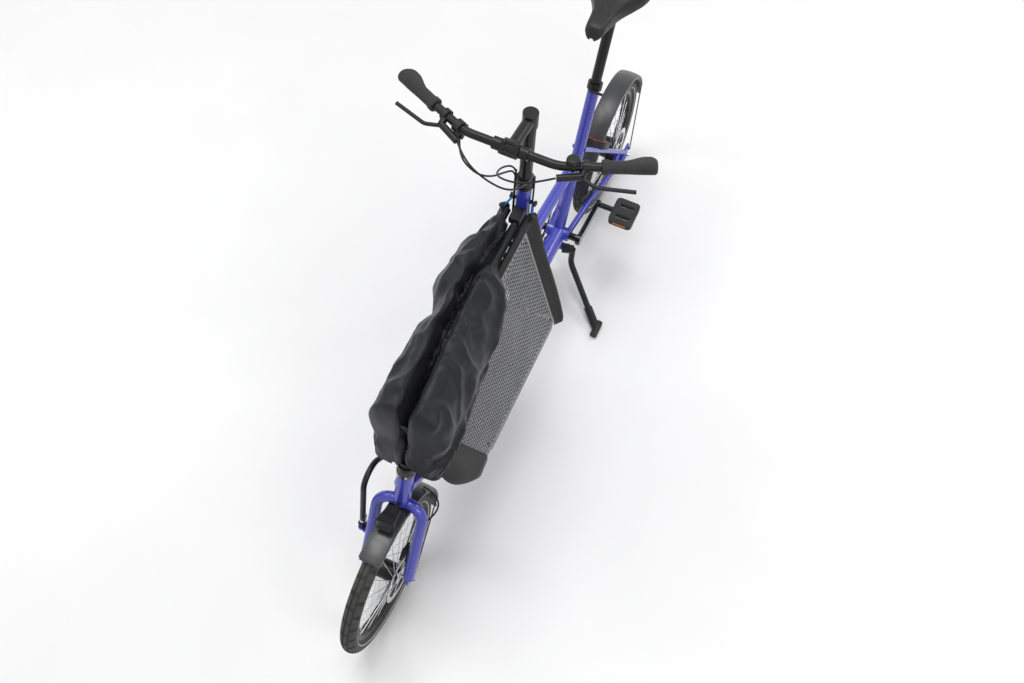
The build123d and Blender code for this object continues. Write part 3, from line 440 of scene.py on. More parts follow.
def coverSection(u, v, side):  # the lobe without folds: x, y out from the middle, z
    c = coverShape
    name = "left" if side > 0 else "right"
    out, low = alongList(c[name + "Out"], u), alongList(c[name + "Low"], u)
    crest, valley = alongList(c["crest"], u), alongList(c["valley"], u)
    inner = side * alongList(c["valleyY"], u)
    wide, mid = out - inner, (crest - c["cheekDrop"] + low) / 2
    line = [(inner, valley), *((inner + share * wide, crest - drop) for share, drop in c["roof"]),
            (0.5 * (out + wallY(mid) + c["cheekOut"]), mid), (wallY(low) + c["edgeLift"], low)]
    y, z = smoothThrough(line, v)
    if side > 0:  # at the rear the left lobe shrinks to a strip inside the bare rim tube
        strip = [(inner, valley), *((stripY, valley + up) for stripY, up in c["strip"])]
        y, z = smoothThrough(strip, v).lerp(Vector((y, z)), easeStep(0.2 - 0.06 * v, 0.34, u))
    x = c["rear"] + (c["front"] - c["rear"]) * min(1, u / c["noseFrom"])
    nose = max(0.0, (u - c["noseFrom"]) / c["noseRun"])
    if nose:  # rounded front end that hangs down to the lower edge
        turn = nose * math.pi / 2 * c["noseTurn"]
        x += c["nose"] * math.sin(turn)
        centre = Vector((inner + c["noseMid"] * wide, low + c["noseLift"]))
        y = centre.x + (y - centre.x) * math.cos(turn) ** 0.36
        z = centre.y + (z - centre.y) * math.cos(turn) ** 0.6
    back = max(0.0, 1 - u / c["gatherRun"])
    if back and side < 0:  # gathered on the rim tube at the rear
        centre = Vector(c["gatherAt"])
        y, z = centre + (Vector((y, z)) - centre) * (1 - c["gatherBy"] * back * back)
    return x, y, z


def coverPoint(u, v, side, seed):
    c = coverShape
    x, y, z = coverSection(u, v, side)
    quiet = easeStep(0, 0.16, v) * easeStep(0, 0.2, 1 - v)  # folds die out towards the edges
    quiet *= easeStep(-0.02, 0.1, u) * easeStep(-0.02, 0.08, 1 - u)
    if side > 0:
        quiet *= 0.15 + 0.85 * easeStep(0.2, 0.4, u)
    p = Vector((u * 5.2 + seed, v * 2.6, seed * 0.7))
    bend = noise.noise(p * 0.8) * 1.6
    slant = math.sin(2 * math.pi * (u * 3.1 + v * 1.15 * side + bend * 0.55) + seed)
    ridge = max(0.0, 1 - abs(noise.noise(p * 1.7 + Vector((9, 3, 1)))) * 2.6)
    lift = c["fold"] * (0.6 * slant + 1.2 * ridge ** 2 - 0.5)
    lift += c["crumple"] * (noise.multi_fractal(p * 3.1, 0.9, 2.2, 4) - 0.4)
    if side < 0:  # the right lobe is pushed together towards the rear
        crush = 0.5 - abs(math.sin(math.pi * (u * 5.6 - v * 2.1 + bend * 0.5) + seed))
        lift += c["crush"] * (1 - easeStep(0.22, 0.55, u)) * crush * easeStep(0.05, 0.25, v)
    lift = max(c["deepest"], min(c["highest"], lift)) * quiet
    top = max(0.0, 1 - v * 1.6)
    y += lift * (1 - top) * 0.9
    z += lift * (0.35 + 0.75 * top)
    x += c["ripple"] * quiet * noise.noise(p * 2.3 + Vector((4, 8, 2)))
    return bike(x, side * y, z)


clothSet = {"quality": 6, "mass": 0.12, "tension_stiffness": 12, "compression_stiffness": 12,
            "shear_stiffness": 4, "bending_stiffness": 0.25}


def slackCloth(obj, pinTest, slack, frames, cap):  # lets a sheet buckle like loose cloth, a little way only
    start = [vert.co.copy() for vert in obj.data.vertices]
    group = obj.vertex_groups.new(name="held")
    for vert in obj.data.vertices:
        group.add([vert.index], pinTest(vert.index), "REPLACE")
    pickOnly(obj)
    cloth = obj.modifiers.new("Slack", "CLOTH")
    for key, value in clothSet.items():
        setattr(cloth.settings, key, value)
    cloth.settings.shrink_min = -slack
    cloth.settings.vertex_group_mass = "held"
    cloth.settings.effector_weights.gravity = 0.35
    cloth.collision_settings.use_collision = False
    cloth.collision_settings.use_self_collision = False
    for frameNumber in range(1, frames + 1):
        bpy.context.scene.frame_set(frameNumber)
    bpy.ops.object.modifier_apply(modifier=cloth.name)
    bpy.context.scene.frame_set(1)
    for vert, old in zip(obj.data.vertices, start):
        move = vert.co - old
        if move.length > cap:
            vert.co = old + move * (cap / move.length)
    obj.vertex_groups.clear()


def sheetArea(obj):
    return sum(face.area for face in obj.data.polygons)


def coverLobe(name, side, seed):
    c = coverShape
    held = {}
    clearSelection()
    bpy.ops.mesh.primitive_grid_add(x_subdivisions=c["across"], y_subdivisions=c["along"], size=1)
    obj = activeNamed(name)
    for vert in obj.data.vertices:
        u, v = vert.co.x + 0.5, vert.co.y + 0.5
        edge = min(v / 0.05, (1 - v) / 0.04, (u + 0.02) / 0.05, (1.02 - u) / 0.05)
        held[vert.index] = max(0.02, 1 - easeStep(0, 1, edge))
        if side > 0 and u < 0.3:  # the strip on the rim stays put
            held[vert.index] = max(held[vert.index], 1 - easeStep(0.2, 0.34, u))
        vert.co = coverPoint(u, v, side, seed)
    slackCloth(obj, held.get, c["slack"], c["frames"], c["cap"])
    addModifier(obj, "SMOOTH", factor=0.4, iterations=1)
    addModifier(obj, "SUBSURF", levels=1, render_levels=1)
    applyAll(obj)
    area = sheetArea(obj)
    thicken(obj, c["thick"])
    return obj, area


def blendSide(piece, name):  # bakes the piece's place into its mesh
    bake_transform(piece)


buttons = {}
for side, name, seed in ((1, "left", 2.3), (-1, "right", 7.1)):
    c = coverShape
    lobe, area = coverLobe("coverLobe_" + name, side, seed)
    finishPiece(lobe, nylonCloth, None, 60)
    blendSide(lobe, name)
    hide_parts("cover_" + name)
    steps = [c["hemFrom"] + c["hemRun"] * k / c["hemSteps"] for k in range(c["hemSteps"] + 1)]
    hem = bentWire("coverHem_" + name, [coverPoint(u, 1, side, seed) for u in steps], c["hem"] / 1000)
    finishPiece(hem, tarpCloth, None, 60)
    _, place, way, _ = lobe.closest_point_on_mesh(coverPoint(*c["button"], side, seed))
    buttons[name] = (place, way)
    blendSide(hem, name)
    print("cover lobe", name, "area", round(area, 3), "m2")


# soft end walls, by levels of height, bulge and distance from the middle

gussetShape = {
    "leftFront": [(384, 84, 48), (430, 112, 42), (480, 116, 36), (560, 92, 12), (700, 54, 2), (820, 26, 2)],
    "rightFront": [(512, 14, 60), (600, 40, 12), (700, 50, 2), (820, 26, 2)],
    "rear": [(400, 28, 60), (470, 36, 50), (560, 40, 40), (700, 38, 32), (800, 46, 30), (852, 50, 26)],
    "topFront": 1393, "topRear": 786, "topShare": 0.975, "across": 36, "along": 48, "thick": 2.4, "ripple": 4,
}


def wallEdge(z, end):
    share = (z - bikeSize["floorZ"]) / (bikeSize["rimZ"] - bikeSize["floorZ"]) / gussetShape["topShare"]
    low, top = bikeSize["floor" + end], gussetShape["top" + end]
    return low + (top - low) * max(0, share)


def gussetSheet(name, side, levels, end, seed):
    g = gussetShape

    def shape(u, v):
        z, bulge, inner = (alongList([row[k] for row in levels], u) for k in range(3))
        x, y = wallEdge(z, end), wallY(max(z, bikeSize["floorZ"]))
        inner = min(inner, y - 6)
        if end == "Front":
            line = [(x + 0.5, y - 1), (x + 0.35 * bulge, y + 1), (x + 0.72 * bulge, y - 1),
                    (x + bulge - 3, 0.55 * (y + inner)), (x + 0.8 * bulge - 3, inner)]
        else:
            line = [(x - 0.5, y + 3), (x - 0.35 * bulge, y + 10), (x - 0.8 * bulge, y + 19),
                    (x - bulge, y + 10), (x - 0.75 * bulge, 0.5 * (y + inner)), (x - 0.5, inner + 3)]
        px, py = smoothThrough(line, v)
        p = Vector((u * 2.4 + seed, v * 2.0, seed))
        quiet = min(1, v * 4) * min(1, (1 - v) * 3)
        px += g["ripple"] * quiet * noise.noise(p) * (1 if end == "Front" else -0.6)
        return bike(px, side * max(1.5, py), z)

    obj = gridSheet(name, g["along"], g["across"], shape)
    addModifier(obj, "SUBSURF", levels=1, render_levels=1)
    applyAll(obj)
    area = sheetArea(obj)
    thicken(obj, g["thick"])
    return obj, area


for side, name in ((1, "left"), (-1, "right")):
    levels = gussetShape[name + "Front"]
    front, frontArea = gussetSheet("frontGusset_" + name, side, levels, "Front", 3 + side)
    finishPiece(front, tarpCloth, None, 60)
    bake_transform(front)
    rear, rearArea = gussetSheet("rearGusset_" + name, side, gussetShape["rear"], "Rear", 5 + side)
    finishPiece(rear, tarpCloth, "side_" + name, 60)
    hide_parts("gussets_" + name)
print("end walls done")


# perforated walls: a brick grid of cells, each with its slot cut out

panelShape = {
    "pitchX": 7.7, "pitchZ": 16, "wall": 1.55, "thick": 2.4, "border": 8, "lift": 1.5, "topFront": 1393,
    "rear": 785.5, "hingeR": 5, "hingeIn": 20, "rivetR": 3.4, "rivetTall": 4.2,
    "rivets": [(800, 452), (1225, 452), (800, 800)],
}


def perforatedWall(sideName, side):
    p = panelShape
    hingeY, floorZ = bikeSize["hingeY"], bikeSize["floorZ"]
    length = p["topFront"] - p["rear"]
    slope = math.hypot(bikeSize["rimY"] - hingeY, bikeSize["rimZ"] - floorZ)
    high = slope - bikeSize["rimR"] - 0.2
    dy, dz = (bikeSize["rimY"] - hingeY) / slope, (bikeSize["rimZ"] - floorZ) / slope
    out = Vector((0, side * dz, -dy))
    cols = round((length - 2 * p["border"]) / p["pitchX"])
    rows = round((high - 2 * p["border"]) / p["pitchZ"]) * 2
    clearSelection()
    bpy.ops.mesh.primitive_grid_add(x_subdivisions=cols + 2, y_subdivisions=rows + 2, size=1)
    wall = activeNamed("perforatedWall_" + sideName)

    def line(k, count, span):  # narrow border cells at both ends
        if k == 0:
            return 0.0
        if k == count + 2:
            return span
        return p["border"] + (k - 1) * (span - 2 * p["border"]) / count

    grid = {}
    for vert in wall.data.vertices:
        i, j = round((vert.co.x + 0.5) * (cols + 2)), round((vert.co.y + 0.5) * (rows + 2))
        grid[vert.index] = (i, j)
        vert.co = (line(i, cols, length), line(j, rows, high), 0)
        vert.select = False
    for face in wall.data.polygons:
        face.select = False
    for edge in wall.data.edges:  # every second cross edge goes, one row on in the next column
        (i0, j0), (i1, j1) = (grid[k] for k in edge.vertices)
        inside = 1 <= min(i0, i1) < max(i0, i1) <= cols + 1 and 1 < j0 < rows + 1
        edge.select = j0 == j1 and inside and (j0 + min(i0, i1)) % 2 == 0
    bpy.context.tool_settings.mesh_select_mode = (False, True, False)
    bpy.ops.object.mode_set(mode="EDIT")
    bpy.ops.mesh.dissolve_edges(use_verts=False)
    pickFaces(wall, lambda f: len(f.vertices) == 6 and p["border"] < f.center.x < length - p["border"])
    bpy.ops.mesh.inset(thickness=p["wall"], use_individual=True)
    bpy.ops.mesh.delete(type="FACE")
    bpy.ops.object.mode_set(mode="OBJECT")
    for vert in wall.data.vertices:
        along, up = vert.co.x, vert.co.y
        y, z = hingeY + up * dy + p["lift"] * dz, floorZ + up * dz - p["lift"] * dy
        vert.co = bike(p["rear"] + along, side * y, z)
    lowFront = bike(bikeSize["floorFront"], side * hingeY, floorZ)
    topZ = bikeSize["rimZ"] - bikeSize["rimR"]
    topFront = bike(p["topFront"], side * wallY(topZ), topZ)
    cut = (topFront - lowFront).cross(out).normalized()
    bpy.ops.object.mode_set(mode="EDIT")
    bpy.ops.mesh.select_all(action="SELECT")
    bpy.ops.mesh.bisect(plane_co=lowFront, plane_no=cut if cut.x > 0 else -cut, clear_outer=True)
    bpy.ops.mesh.select_all(action="SELECT")
    bpy.ops.mesh.remove_doubles(threshold=0.00001)
    bpy.ops.mesh.normals_make_consistent(inside=False)
    bpy.ops.object.mode_set(mode="OBJECT")
    thicken(wall, p["thick"])
    applyAll(wall)
    hingeEnds = (bikeSize["floorRear"] + p["hingeIn"], bikeSize["floorFront"] - p["hingeIn"])
    barrel = addRod(*(bike(x, side * hingeY, floorZ) for x in hingeEnds), p["hingeR"] / 1000, 24, 0.0008)
    rivets = []
    for x, z in p["rivets"]:
        foot = bike(x, side * wallY(z), z)
        ends = (foot + out * up / 1000 for up in (p["lift"], p["rivetTall"]))
        rivets.append(addRod(*ends, p["rivetR"] / 1000, 16, 0.0012))
    return joinPieces(wall.name, [wall, barrel]), joinPieces("wallRivets_" + sideName, rivets)


for side, name in ((1, "left"), (-1, "right")):
    wall, rivets = perforatedWall(name, side)
    finishPiece(wall, grayAlloy, "side_" + name, 30)
    finishPiece(rivets, satinBlack, "side_" + name, 40)
    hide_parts("panel_" + name)
    print("wall", name, len(wall.data.polygons), "faces")


# tyres with a cut tread

tyreShape = {
    "ring": 219.5, "section": 22.5, "width": 23.4, "around": 132, "across": 30, "gap": 0.8, "depth": 1.8,
    "groove": (14, 25), "grooveEdge": 0.7, "grooveDepth": 2.88, "shoulder": 70,  # degrees off the crown line
}


def treadedTyre(name, centreX):
    t = tyreShape
    centre = bike(centreX, 0, bikeSize["tyreR"])
    clearSelection()
    bpy.ops.mesh.primitive_torus_add(major_radius=t["ring"] / 1000, minor_radius=t["section"] / 1000,
                                     major_segments=t["around"], minor_segments=t["across"],
                                     location=centre, rotation=(math.pi / 2, 0, 0))
    tyre = activeNamed(name)
    tyre.scale = (1, 1, t["width"] / t["section"])
    applyAll(tyre)

    def leanOf(face):  # degrees from the crown line, 180 on the rim's side
        d = face.center - centre
        reach = math.hypot(d.x, d.z) - t["ring"] / 1000
        return math.degrees(math.atan2(d.y, reach)) if reach > -0.004 else 180

    def grooveFace(face):
        return t["groove"][0] < abs(leanOf(face)) < t["groove"][1]

    def blockFace(face):  # shoulder blocks on both sides and a band of short bars in the middle
        lean, d = leanOf(face), face.center - centre
        step = int(math.atan2(d.z, d.x) / (2 * math.pi) * t["around"] + t["around"] * 2)
        if grooveFace(face):
            return False
        if abs(lean) < t["groove"][0]:
            return step % 4 == 0
        return abs(lean) < t["shoulder"] and (step + 2 * (lean > 0)) % 4 == 0

    pickFaces(tyre, blockFace)
    bpy.ops.mesh.inset(thickness=t["gap"] / 1000, depth=-t["depth"] / 1000, use_individual=True)
    pickFaces(tyre, grooveFace)
    bpy.ops.mesh.inset(thickness=t["grooveEdge"] / 1000, depth=-t["grooveDepth"] / 1000)
    bpy.ops.object.mode_set(mode="OBJECT")
    return tyre


for name, centreX, finish in (("rear", 0, tyreRear), ("front", bikeSize["wheelbase"], tyreFront)):
    tyre = treadedTyre("treadedTyre_" + name, centreX)
    finishPiece(tyre, finish, name + "_wheel", 35)
    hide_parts("tyre_" + name)
print("tyres done")


# roller chain, link by link along its loop

chainShape = {
    "ringR": 72, "sprocketR": 38, "y": -53, "pitch": 12.7, "plateH": 8.2, "plateT": 1.2, "gap": 2.2,
    "waist": 0.72, "rollerR": 3.8, "bbX": 408, "bbZ": 285,
}


def chainPoint(s):  # place and direction after s millimetres of the loop, and the loop's length
    ringR, sprocketR = chainShape["ringR"], chainShape["sprocketR"]
    front, rear = Vector((chainShape["bbX"], chainShape["bbZ"])), Vector((0, bikeSize["tyreR"]))
    span = front - rear
    base = math.atan2(span.y, span.x)
    lean = math.acos((ringR - sprocketR) / span.length)
    straight = math.sqrt(span.length ** 2 - (ringR - sprocketR) ** 2)
    frontArc, rearArc = 2 * (math.pi - lean) * ringR, 2 * lean * sprocketR
    total = 2 * straight + frontArc + rearArc

    def onRing(a):
        return front + ringR * Vector((math.cos(a), math.sin(a)))

    def onSprocket(a):
        return rear + sprocketR * Vector((math.cos(a), math.sin(a)))

    def onRun(start, end):
        return start.lerp(end, s / straight), (end - start).normalized(), total

    s %= total
    if s < straight:
        return onRun(onSprocket(base + lean), onRing(base + lean))
    s -= straight
    if s < frontArc:
        a = base + lean - s / ringR
        return onRing(a), Vector((math.sin(a), -math.cos(a))), total
    s -= frontArc
    if s < straight:
        return onRun(onRing(base - lean), onSprocket(base - lean))
    s -= straight
    a = base - lean - s / sprocketR
    return onSprocket(a), Vector((math.sin(a), -math.cos(a))), total


def chainLink():  # two waisted side plates and a roller, along x
    c = chainShape
    parts = []
    for y in (-1, 1):
        clearSelection()
        bpy.ops.mesh.primitive_cylinder_add(vertices=12, radius=0.5, depth=1)
        plate = bpy.context.object
        plate.rotation_euler = (math.pi / 2, 0, 0)
        plate.scale = ((c["pitch"] + c["plateH"]) / 1000, c["plateH"] / 1000, c["plateT"] / 1000)
        plate.location = (0, y * c["gap"] / 1000, 0)
        applyAll(plate)
        for vert in plate.data.vertices:
            if abs(vert.co.x) < c["pitch"] / 4000:
                vert.co.z *= c["waist"]
        parts.append(plate)
    half, gap = c["pitch"] / 2000, c["gap"] / 1000
    parts.append(addRod((half, -gap, 0), (half, gap, 0), c["rollerR"] / 1000, 10))
    return joinPieces("chainLink", parts)


def rollerChain():
    link = chainLink()
    total = chainPoint(0)[2]
    count = round(total / chainShape["pitch"])
    links = []
    for k in range(count):
        place, way, _ = chainPoint(k * total / count)
        copy = link.copy()
        copy.data = link.data.copy()
        bpy.context.collection.objects.link(copy)
        turn = Matrix.Rotation(-math.atan2(way.y, way.x), 4, "Y")
        copy.data.transform(Matrix.Translation(bike(place.x, chainShape["y"], place.y)) @ turn)
        links.append(copy)
    bpy.data.objects.remove(link)
    return joinPieces("rollerChain", links)


chain = rollerChain()
finishPiece(chain, brightSteel, "frame", 40)
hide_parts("chain")
print("chain done", len(chain.data.polygons), "faces")


# saddle with rolled sides and a relief channel, from the nose to the tail

saddleShape = {
    "nose": 292, "tail": 17, "top": 1066, "halfWidths": [17, 21, 24, 29, 41, 60, 78, 85, 80, 58],
    "rise": [-4, -1, -2, -4, -5, -3, 0, 2, 1, -5], "crown": 5, "skirt": 34, "skirtFrom": 0.55,
    "edge": 0.86, "edgeIn": 8, "channel": 5, "channelWide": 0.14, "closing": 0.06, "noseRun": 0.06,
    "tailRun": 0.07, "noseDrop": 20, "tailDrop": 22, "thick": 7, "across": 40, "along": 48,
}


def saddlePad():
    k = saddleShape

    def shape(u, v):
        side = 2 * v - 1
        a = abs(side)
        tuck = easeStep(0, k["closing"], u) * easeStep(0, k["closing"], 1 - u)  # skirt runs out at the ends
        half = alongList(k["halfWidths"], u) * max(0.04, min(1, u / k["noseRun"])) ** 0.5
        half *= max(0.08, min(1, (1 - u) / k["tailRun"])) ** 0.5
        x = k["nose"] + (k["tail"] - k["nose"]) * u
        y = half * math.sin(min(1, a / k["edge"]) * math.pi / 2)
        y -= k["edgeIn"] * easeStep(k["edge"], 1, a) * tuck
        skirt = k["skirt"] * (0.35 + 0.65 * easeStep(0, 0.3, u)) * easeStep(k["skirtFrom"], 1, a)
        drop = (k["crown"] * a * a + skirt) * tuck
        dip = k["channel"] * math.exp(-(side / k["channelWide"]) ** 2)
        dip *= easeStep(0.2, 0.4, u) * easeStep(0, 0.25, 1 - u)
        ends = k["noseDrop"] * (1 - easeStep(0, 0.07, u)) + k["tailDrop"] * (1 - easeStep(0, 0.06, 1 - u))
        return bike(x, math.copysign(y, side), k["top"] + alongList(k["rise"], u) - drop - dip - ends)

    pad = gridSheet("saddlePad", k["along"], k["across"], shape)
    thicken(pad, k["thick"], -1)
    addModifier(pad, "SUBSURF", levels=1, render_levels=1)
    return pad


saddle = saddlePad()
finishPiece(saddle, saddleSkin, "frame", 60)
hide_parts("saddle")
print("saddle done")


# hooks and elastics between the basket rims and the column

fittings = {
    "hookStem": 3.2, "hookHead": 8.5, "hookTall": 16, "headLow": 4, "headTop": 2, "hookFoot": 3,
    "elastic": 2.4, "strandGap": 3.8, "sag": 2, "loopUp": 8, "columnHookZ": 868, "columnOut": 19.5,
    "columnLoop": 28, "rimHookX": 760, "rimOut": 6, "rimSunk": 3,
}


def mushroomHook(name, foot, way):  # stem with a domed head
    f = fittings
    tip = foot + way * f["hookTall"] / 1000
    stem = addRod(foot, tip, f["hookStem"] / 1000, 14)
    under, over = tip - way * f["headLow"] / 1000, tip + way * f["headTop"] / 1000
    head = addRod(under, over, f["hookHead"] / 1000, 24, 0.0024)
    collar = addRod(foot, foot + way * f["hookFoot"] / 1000, f["hookStem"] * 1.9 / 1000, 18, 0.001)
    return joinPieces(name, [stem, head, collar])


for side, name in ((1, "left"), (-1, "right")):
    f = fittings
    rimTop = bike(f["rimHookX"], side * (bikeSize["rimY"] + f["rimOut"]),
                  bikeSize["rimZ"] + bikeSize["rimR"] - f["rimSunk"])
    rimWay = Vector((-0.2, side * 0.45, 0.87)).normalized()
    hook = mushroomHook("rimHook_" + name, rimTop, rimWay)
    finishPiece(hook, blackPlastic, "side_" + name)
    tubeSide = columnAt(f["columnHookZ"], 0, side * f["columnOut"])
    hook = mushroomHook("columnHook_" + name, tubeSide, Vector((0.1, side, 0.15)).normalized())
    finishPiece(hook, blackPlastic, "frame")
    a, b = rimTop + rimWay * f["loopUp"] / 1000, columnAt(f["columnHookZ"], 0, side * f["columnLoop"])
    loop = []
    for shift in (-1, 1):
        apart = Vector((0.6, 0, 0.8)) * f["strandGap"] / 1000 * shift
        middle = a.lerp(b, 0.5) + apart * 0.8 - Vector((0, 0, f["sag"] / 1000))
        loop.append(bentWire("strand", [a + apart, middle, b + apart], f["elastic"] / 1000))
    cordLoop = joinPieces("elasticLoop_" + name, loop)
    finishPiece(cordLoop, elasticBlue, "frame")
print("hooks done")


# face plate and bolts of the stem

def capBolt(name, places, way, r, tall):  # round head with a hex socket
    bolts = []
    for place in places:
        clearSelection()
        bpy.ops.mesh.primitive_cylinder_add(vertices=18, radius=r, depth=tall)
        bolt = bpy.context.object
        pickFaces(bolt, lambda face: face.normal.z > 0.9)
        bpy.ops.mesh.inset(thickness=r * 0.42)
        bpy.ops.mesh.inset(thickness=r * 0.05, depth=-tall * 0.6)
        bpy.ops.object.mode_set(mode="OBJECT")
        bolt.matrix_world = standAt(Vector(place) + way * tall / 2, way)
        bevelEdges(bolt, r * 0.12, 2)
        applyAll(bolt)
        bolts.append(bolt)
    return joinPieces(name, bolts)


stemPlate = {
    "bar": (812, 0, 1190), "out": 18.5, "wide": 46, "tall": 36, "thick": 7, "window": 9, "boltY": 16,
    "boltUp": 12.5, "collarZ": (943, 955), "collarOut": 21,
}
plateWay = Vector((0.66, 0, 0.75)).normalized()
plateUp = Vector((-0.75, 0, 0.66)).normalized()


def facePlate(name):  # bevelled plate with a window, over the handlebar clamp
    k = stemPlate
    clearSelection()
    bpy.ops.mesh.primitive_cube_add(size=1)
    plate = activeNamed(name)
    plate.scale = (k["tall"] / 1000, k["wide"] / 1000, k["thick"] / 1000)
    applyAll(plate)
    pickFaces(plate, lambda face: face.normal.z > 0.9)
    bpy.ops.mesh.inset(thickness=k["window"] / 1000)
    bpy.ops.mesh.inset(thickness=0.0006, depth=-0.6 * k["thick"] / 1000)
    bpy.ops.object.mode_set(mode="OBJECT")
    bevelEdges(plate, 0.0022)
    applyAll(plate)
    turn = Matrix((-plateUp, Vector((0, 1, 0)), plateWay)).transposed().to_4x4()
    plate.data.transform(Matrix.Translation(bike(*k["bar"]) + plateWay * k["out"] / 1000) @ turn)
    return plate


finishPiece(facePlate("stemPlate"), satinBlack, "bars")
plateFace = bike(*stemPlate["bar"]) + plateWay * (stemPlate["out"] + stemPlate["thick"] / 2) / 1000
boltPlaces = []
for y in (-1, 1):
    for up in (-1, 1):
        across = Vector((0, y * stemPlate["boltY"] / 1000, 0))
        boltPlaces.append(plateFace + across + plateUp * up * stemPlate["boltUp"] / 1000)
stemBolts = capBolt("stemBolts", boltPlaces, plateWay, 0.0044, 0.0035)
finishPiece(stemBolts, glossBlack, "bars")
forward = Vector((1, 0, 0.1)).normalized()
collarPlaces = [columnAt(z, stemPlate["collarOut"]) for z in stemPlate["collarZ"]]
collarBolts = capBolt("collarBolts", collarPlaces, forward, 0.0036, 0.004)
finishPiece(collarBolts, glossBlack, "bars")
print("stem done")


# crowned skins over the fenders; rear and front hold their angles around the wheel

fenderSkin = {
    "top": 253.8, "crown": 3.2, "half": 30.6, "lip": 7, "thick": 1.4, "along": 96, "across": 24,
    "rear": (13, 164), "front": (77, 184),
}


def crownedFender(name, centreX, angles):
    f = fenderSkin

    def shape(u, v):
        side = 2 * v - 1
        a = abs(side)
        y = f["half"] * math.sin(min(1, a / 0.8) * math.pi / 2)
        r = f["top"] + f["crown"] * (1 - (y / f["half"]) ** 2) - f["lip"] * easeStep(0.72, 1, a)
        return onWheel(centreX, angles[0] + (angles[1] - angles[0]) * u, r, math.copysign(y, side))

    skin = gridSheet(name, f["along"], f["across"], shape)
    thicken(skin, f["thick"], -1)
    return skin


for name, centreX, body in (("rear", 0, "frame"), ("front", bikeSize["wheelbase"], "fork")):
    skin = crownedFender("fenderSkin_" + name, centreX, fenderSkin[name])
    finishPiece(skin, fenderPlastic, body, 50)
print("fender skins done")


# winged grips, from the bar's end inwards

gripShape = {
    "tip": (721, 325, 1190), "inner": (772, 212), "start": -2.5, "length": 128, "r": 16.8, "wing": 15,
    "waist": 1.1, "ring": 1.4, "rib": 0.35, "ribs": 26, "endIn": 3, "ringIn": 2, "around": 36, "along": 120,
}


def wingedGrip(name, side):
    g = gripShape
    upward = Vector((0, 0, 1))
    tip = Vector((g["tip"][0], side * g["tip"][1], g["tip"][2]))
    inward = (Vector((g["inner"][0], side * g["inner"][1], g["tip"][2])) - tip).normalized()
    rearward = upward.cross(inward) * -side

    def shape(u, v):
        a = 2 * math.pi * v
        wing = g["wing"] * (1 - easeStep(0.18, 0.62, u)) * (0.55 + 0.45 * easeStep(0, 0.1, u))
        r = g["r"] - g["waist"] * easeStep(0.3, 0.6, u) * (1 - easeStep(0.86, 0.9, u))
        r += g["ring"] * easeStep(0.86, 0.88, u)
        r -= g["endIn"] * (1 - easeStep(0, 0.035, u)) + g["ringIn"] * (1 - easeStep(0, 0.02, 1 - u))
        r += g["rib"] * math.sin(u * 2 * math.pi * g["ribs"]) * (1 - easeStep(0.8, 0.86, u))
        back = max(0, math.cos(a)) ** 1.6
        place = tip + inward * (g["start"] + g["length"] * u)
        place += rearward * (math.cos(a) * r + wing * back)
        place += upward * (math.sin(a) * r * (1 - 0.28 * back * wing / g["wing"]) - wing * 0.12 * back)
        return bike(*place)

    grip = gridSheet(name, g["along"], g["around"], shape)
    bpy.ops.object.mode_set(mode="EDIT")
    bpy.ops.mesh.select_all(action="SELECT")
    bpy.ops.mesh.remove_doubles(threshold=0.00002)
    bpy.ops.mesh.select_mode(type="EDGE")
    bpy.ops.mesh.select_all(action="DESELECT")
    bpy.ops.mesh.select_non_manifold()  # both open ends
    bpy.ops.mesh.edge_face_add()
    bpy.ops.mesh.select_all(action="SELECT")
    bpy.ops.mesh.normals_make_consistent(inside=False)
    bpy.ops.object.mode_set(mode="OBJECT")
    return grip


grips = joinPieces("wingedGrips", [wingedGrip("grip", side) for side in (1, -1)])
finishPiece(grips, gripRubber, "bars", 50)
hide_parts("grips")
print("grips done", len(grips.data.polygons), "faces")


# hoses at the handlebar, and the slack one from the main tube to the fork leg

hoseR = 0.0025
hoseLines = {
    "left": [(840, 125, 1182), (862, 92, 1176), (868, 40, 1146), (846, -24, 1110), (786, -40, 1062),
             (728, -28, 1010), (718, -25.8, 974)],
    "right": [(840, -125, 1182), (876, -92, 1176), (890, -34, 1148), (880, 28, 1120), (806, 46, 1072),
              (730, 29, 1012), (718, 25.8, 974)],
    "shift": [(801, -136, 1166), (858, -116, 1160), (880, -62, 1142), (846, -36, 1100), (782, -27, 1046),
              (738, -23.5, 1002), (729, -23.5, 974)],
}
forkHose = [(1390, 16, 394), (1398, 48, 410), (1430, 86, 440), (1470, 88, 450), (1492, 66, 418)]
wires = [bentWire("hose", [bike(*point) for point in points], hoseR) for points in hoseLines.values()]
barHoses = joinPieces("barHoses", wires)
finishPiece(barHoses, hoseBlack, "bars", 60)
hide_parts("hoses_bars")
print("hoses done")


# front headset cup and link joint, in millimetres along and off the steering axis

frontSteer = {
    "angle": 70, "rake": 34, "headTop": 413, "cupLow": 386, "cupR": 24.4, "bandLow": 395, "bandTop": 403,
    "bandR": 25.6, "boltUp": 399, "boltOut": 23.5, "boltY": 11, "arm": 103, "jointUp": 107,
    "neck": (11.5, 21, 9.8), "sleeve": (26, 34, 10.2),
}


def frontAxis(up, fore=0, y=0):
    a = math.radians(frontSteer["angle"])
    along, across = Vector((-math.cos(a), math.sin(a))), Vector((math.sin(a), math.cos(a)))
    place = Vector((bikeSize["wheelbase"], bikeSize["tyreR"])) - across * frontSteer["rake"]
    place += along * up + across * fore
    return bike(place.x, y, place.y)


def axisRing(low, top, r, bevel):
    return addRod(frontAxis(low), frontAxis(top), r / 1000, 40, bevel)


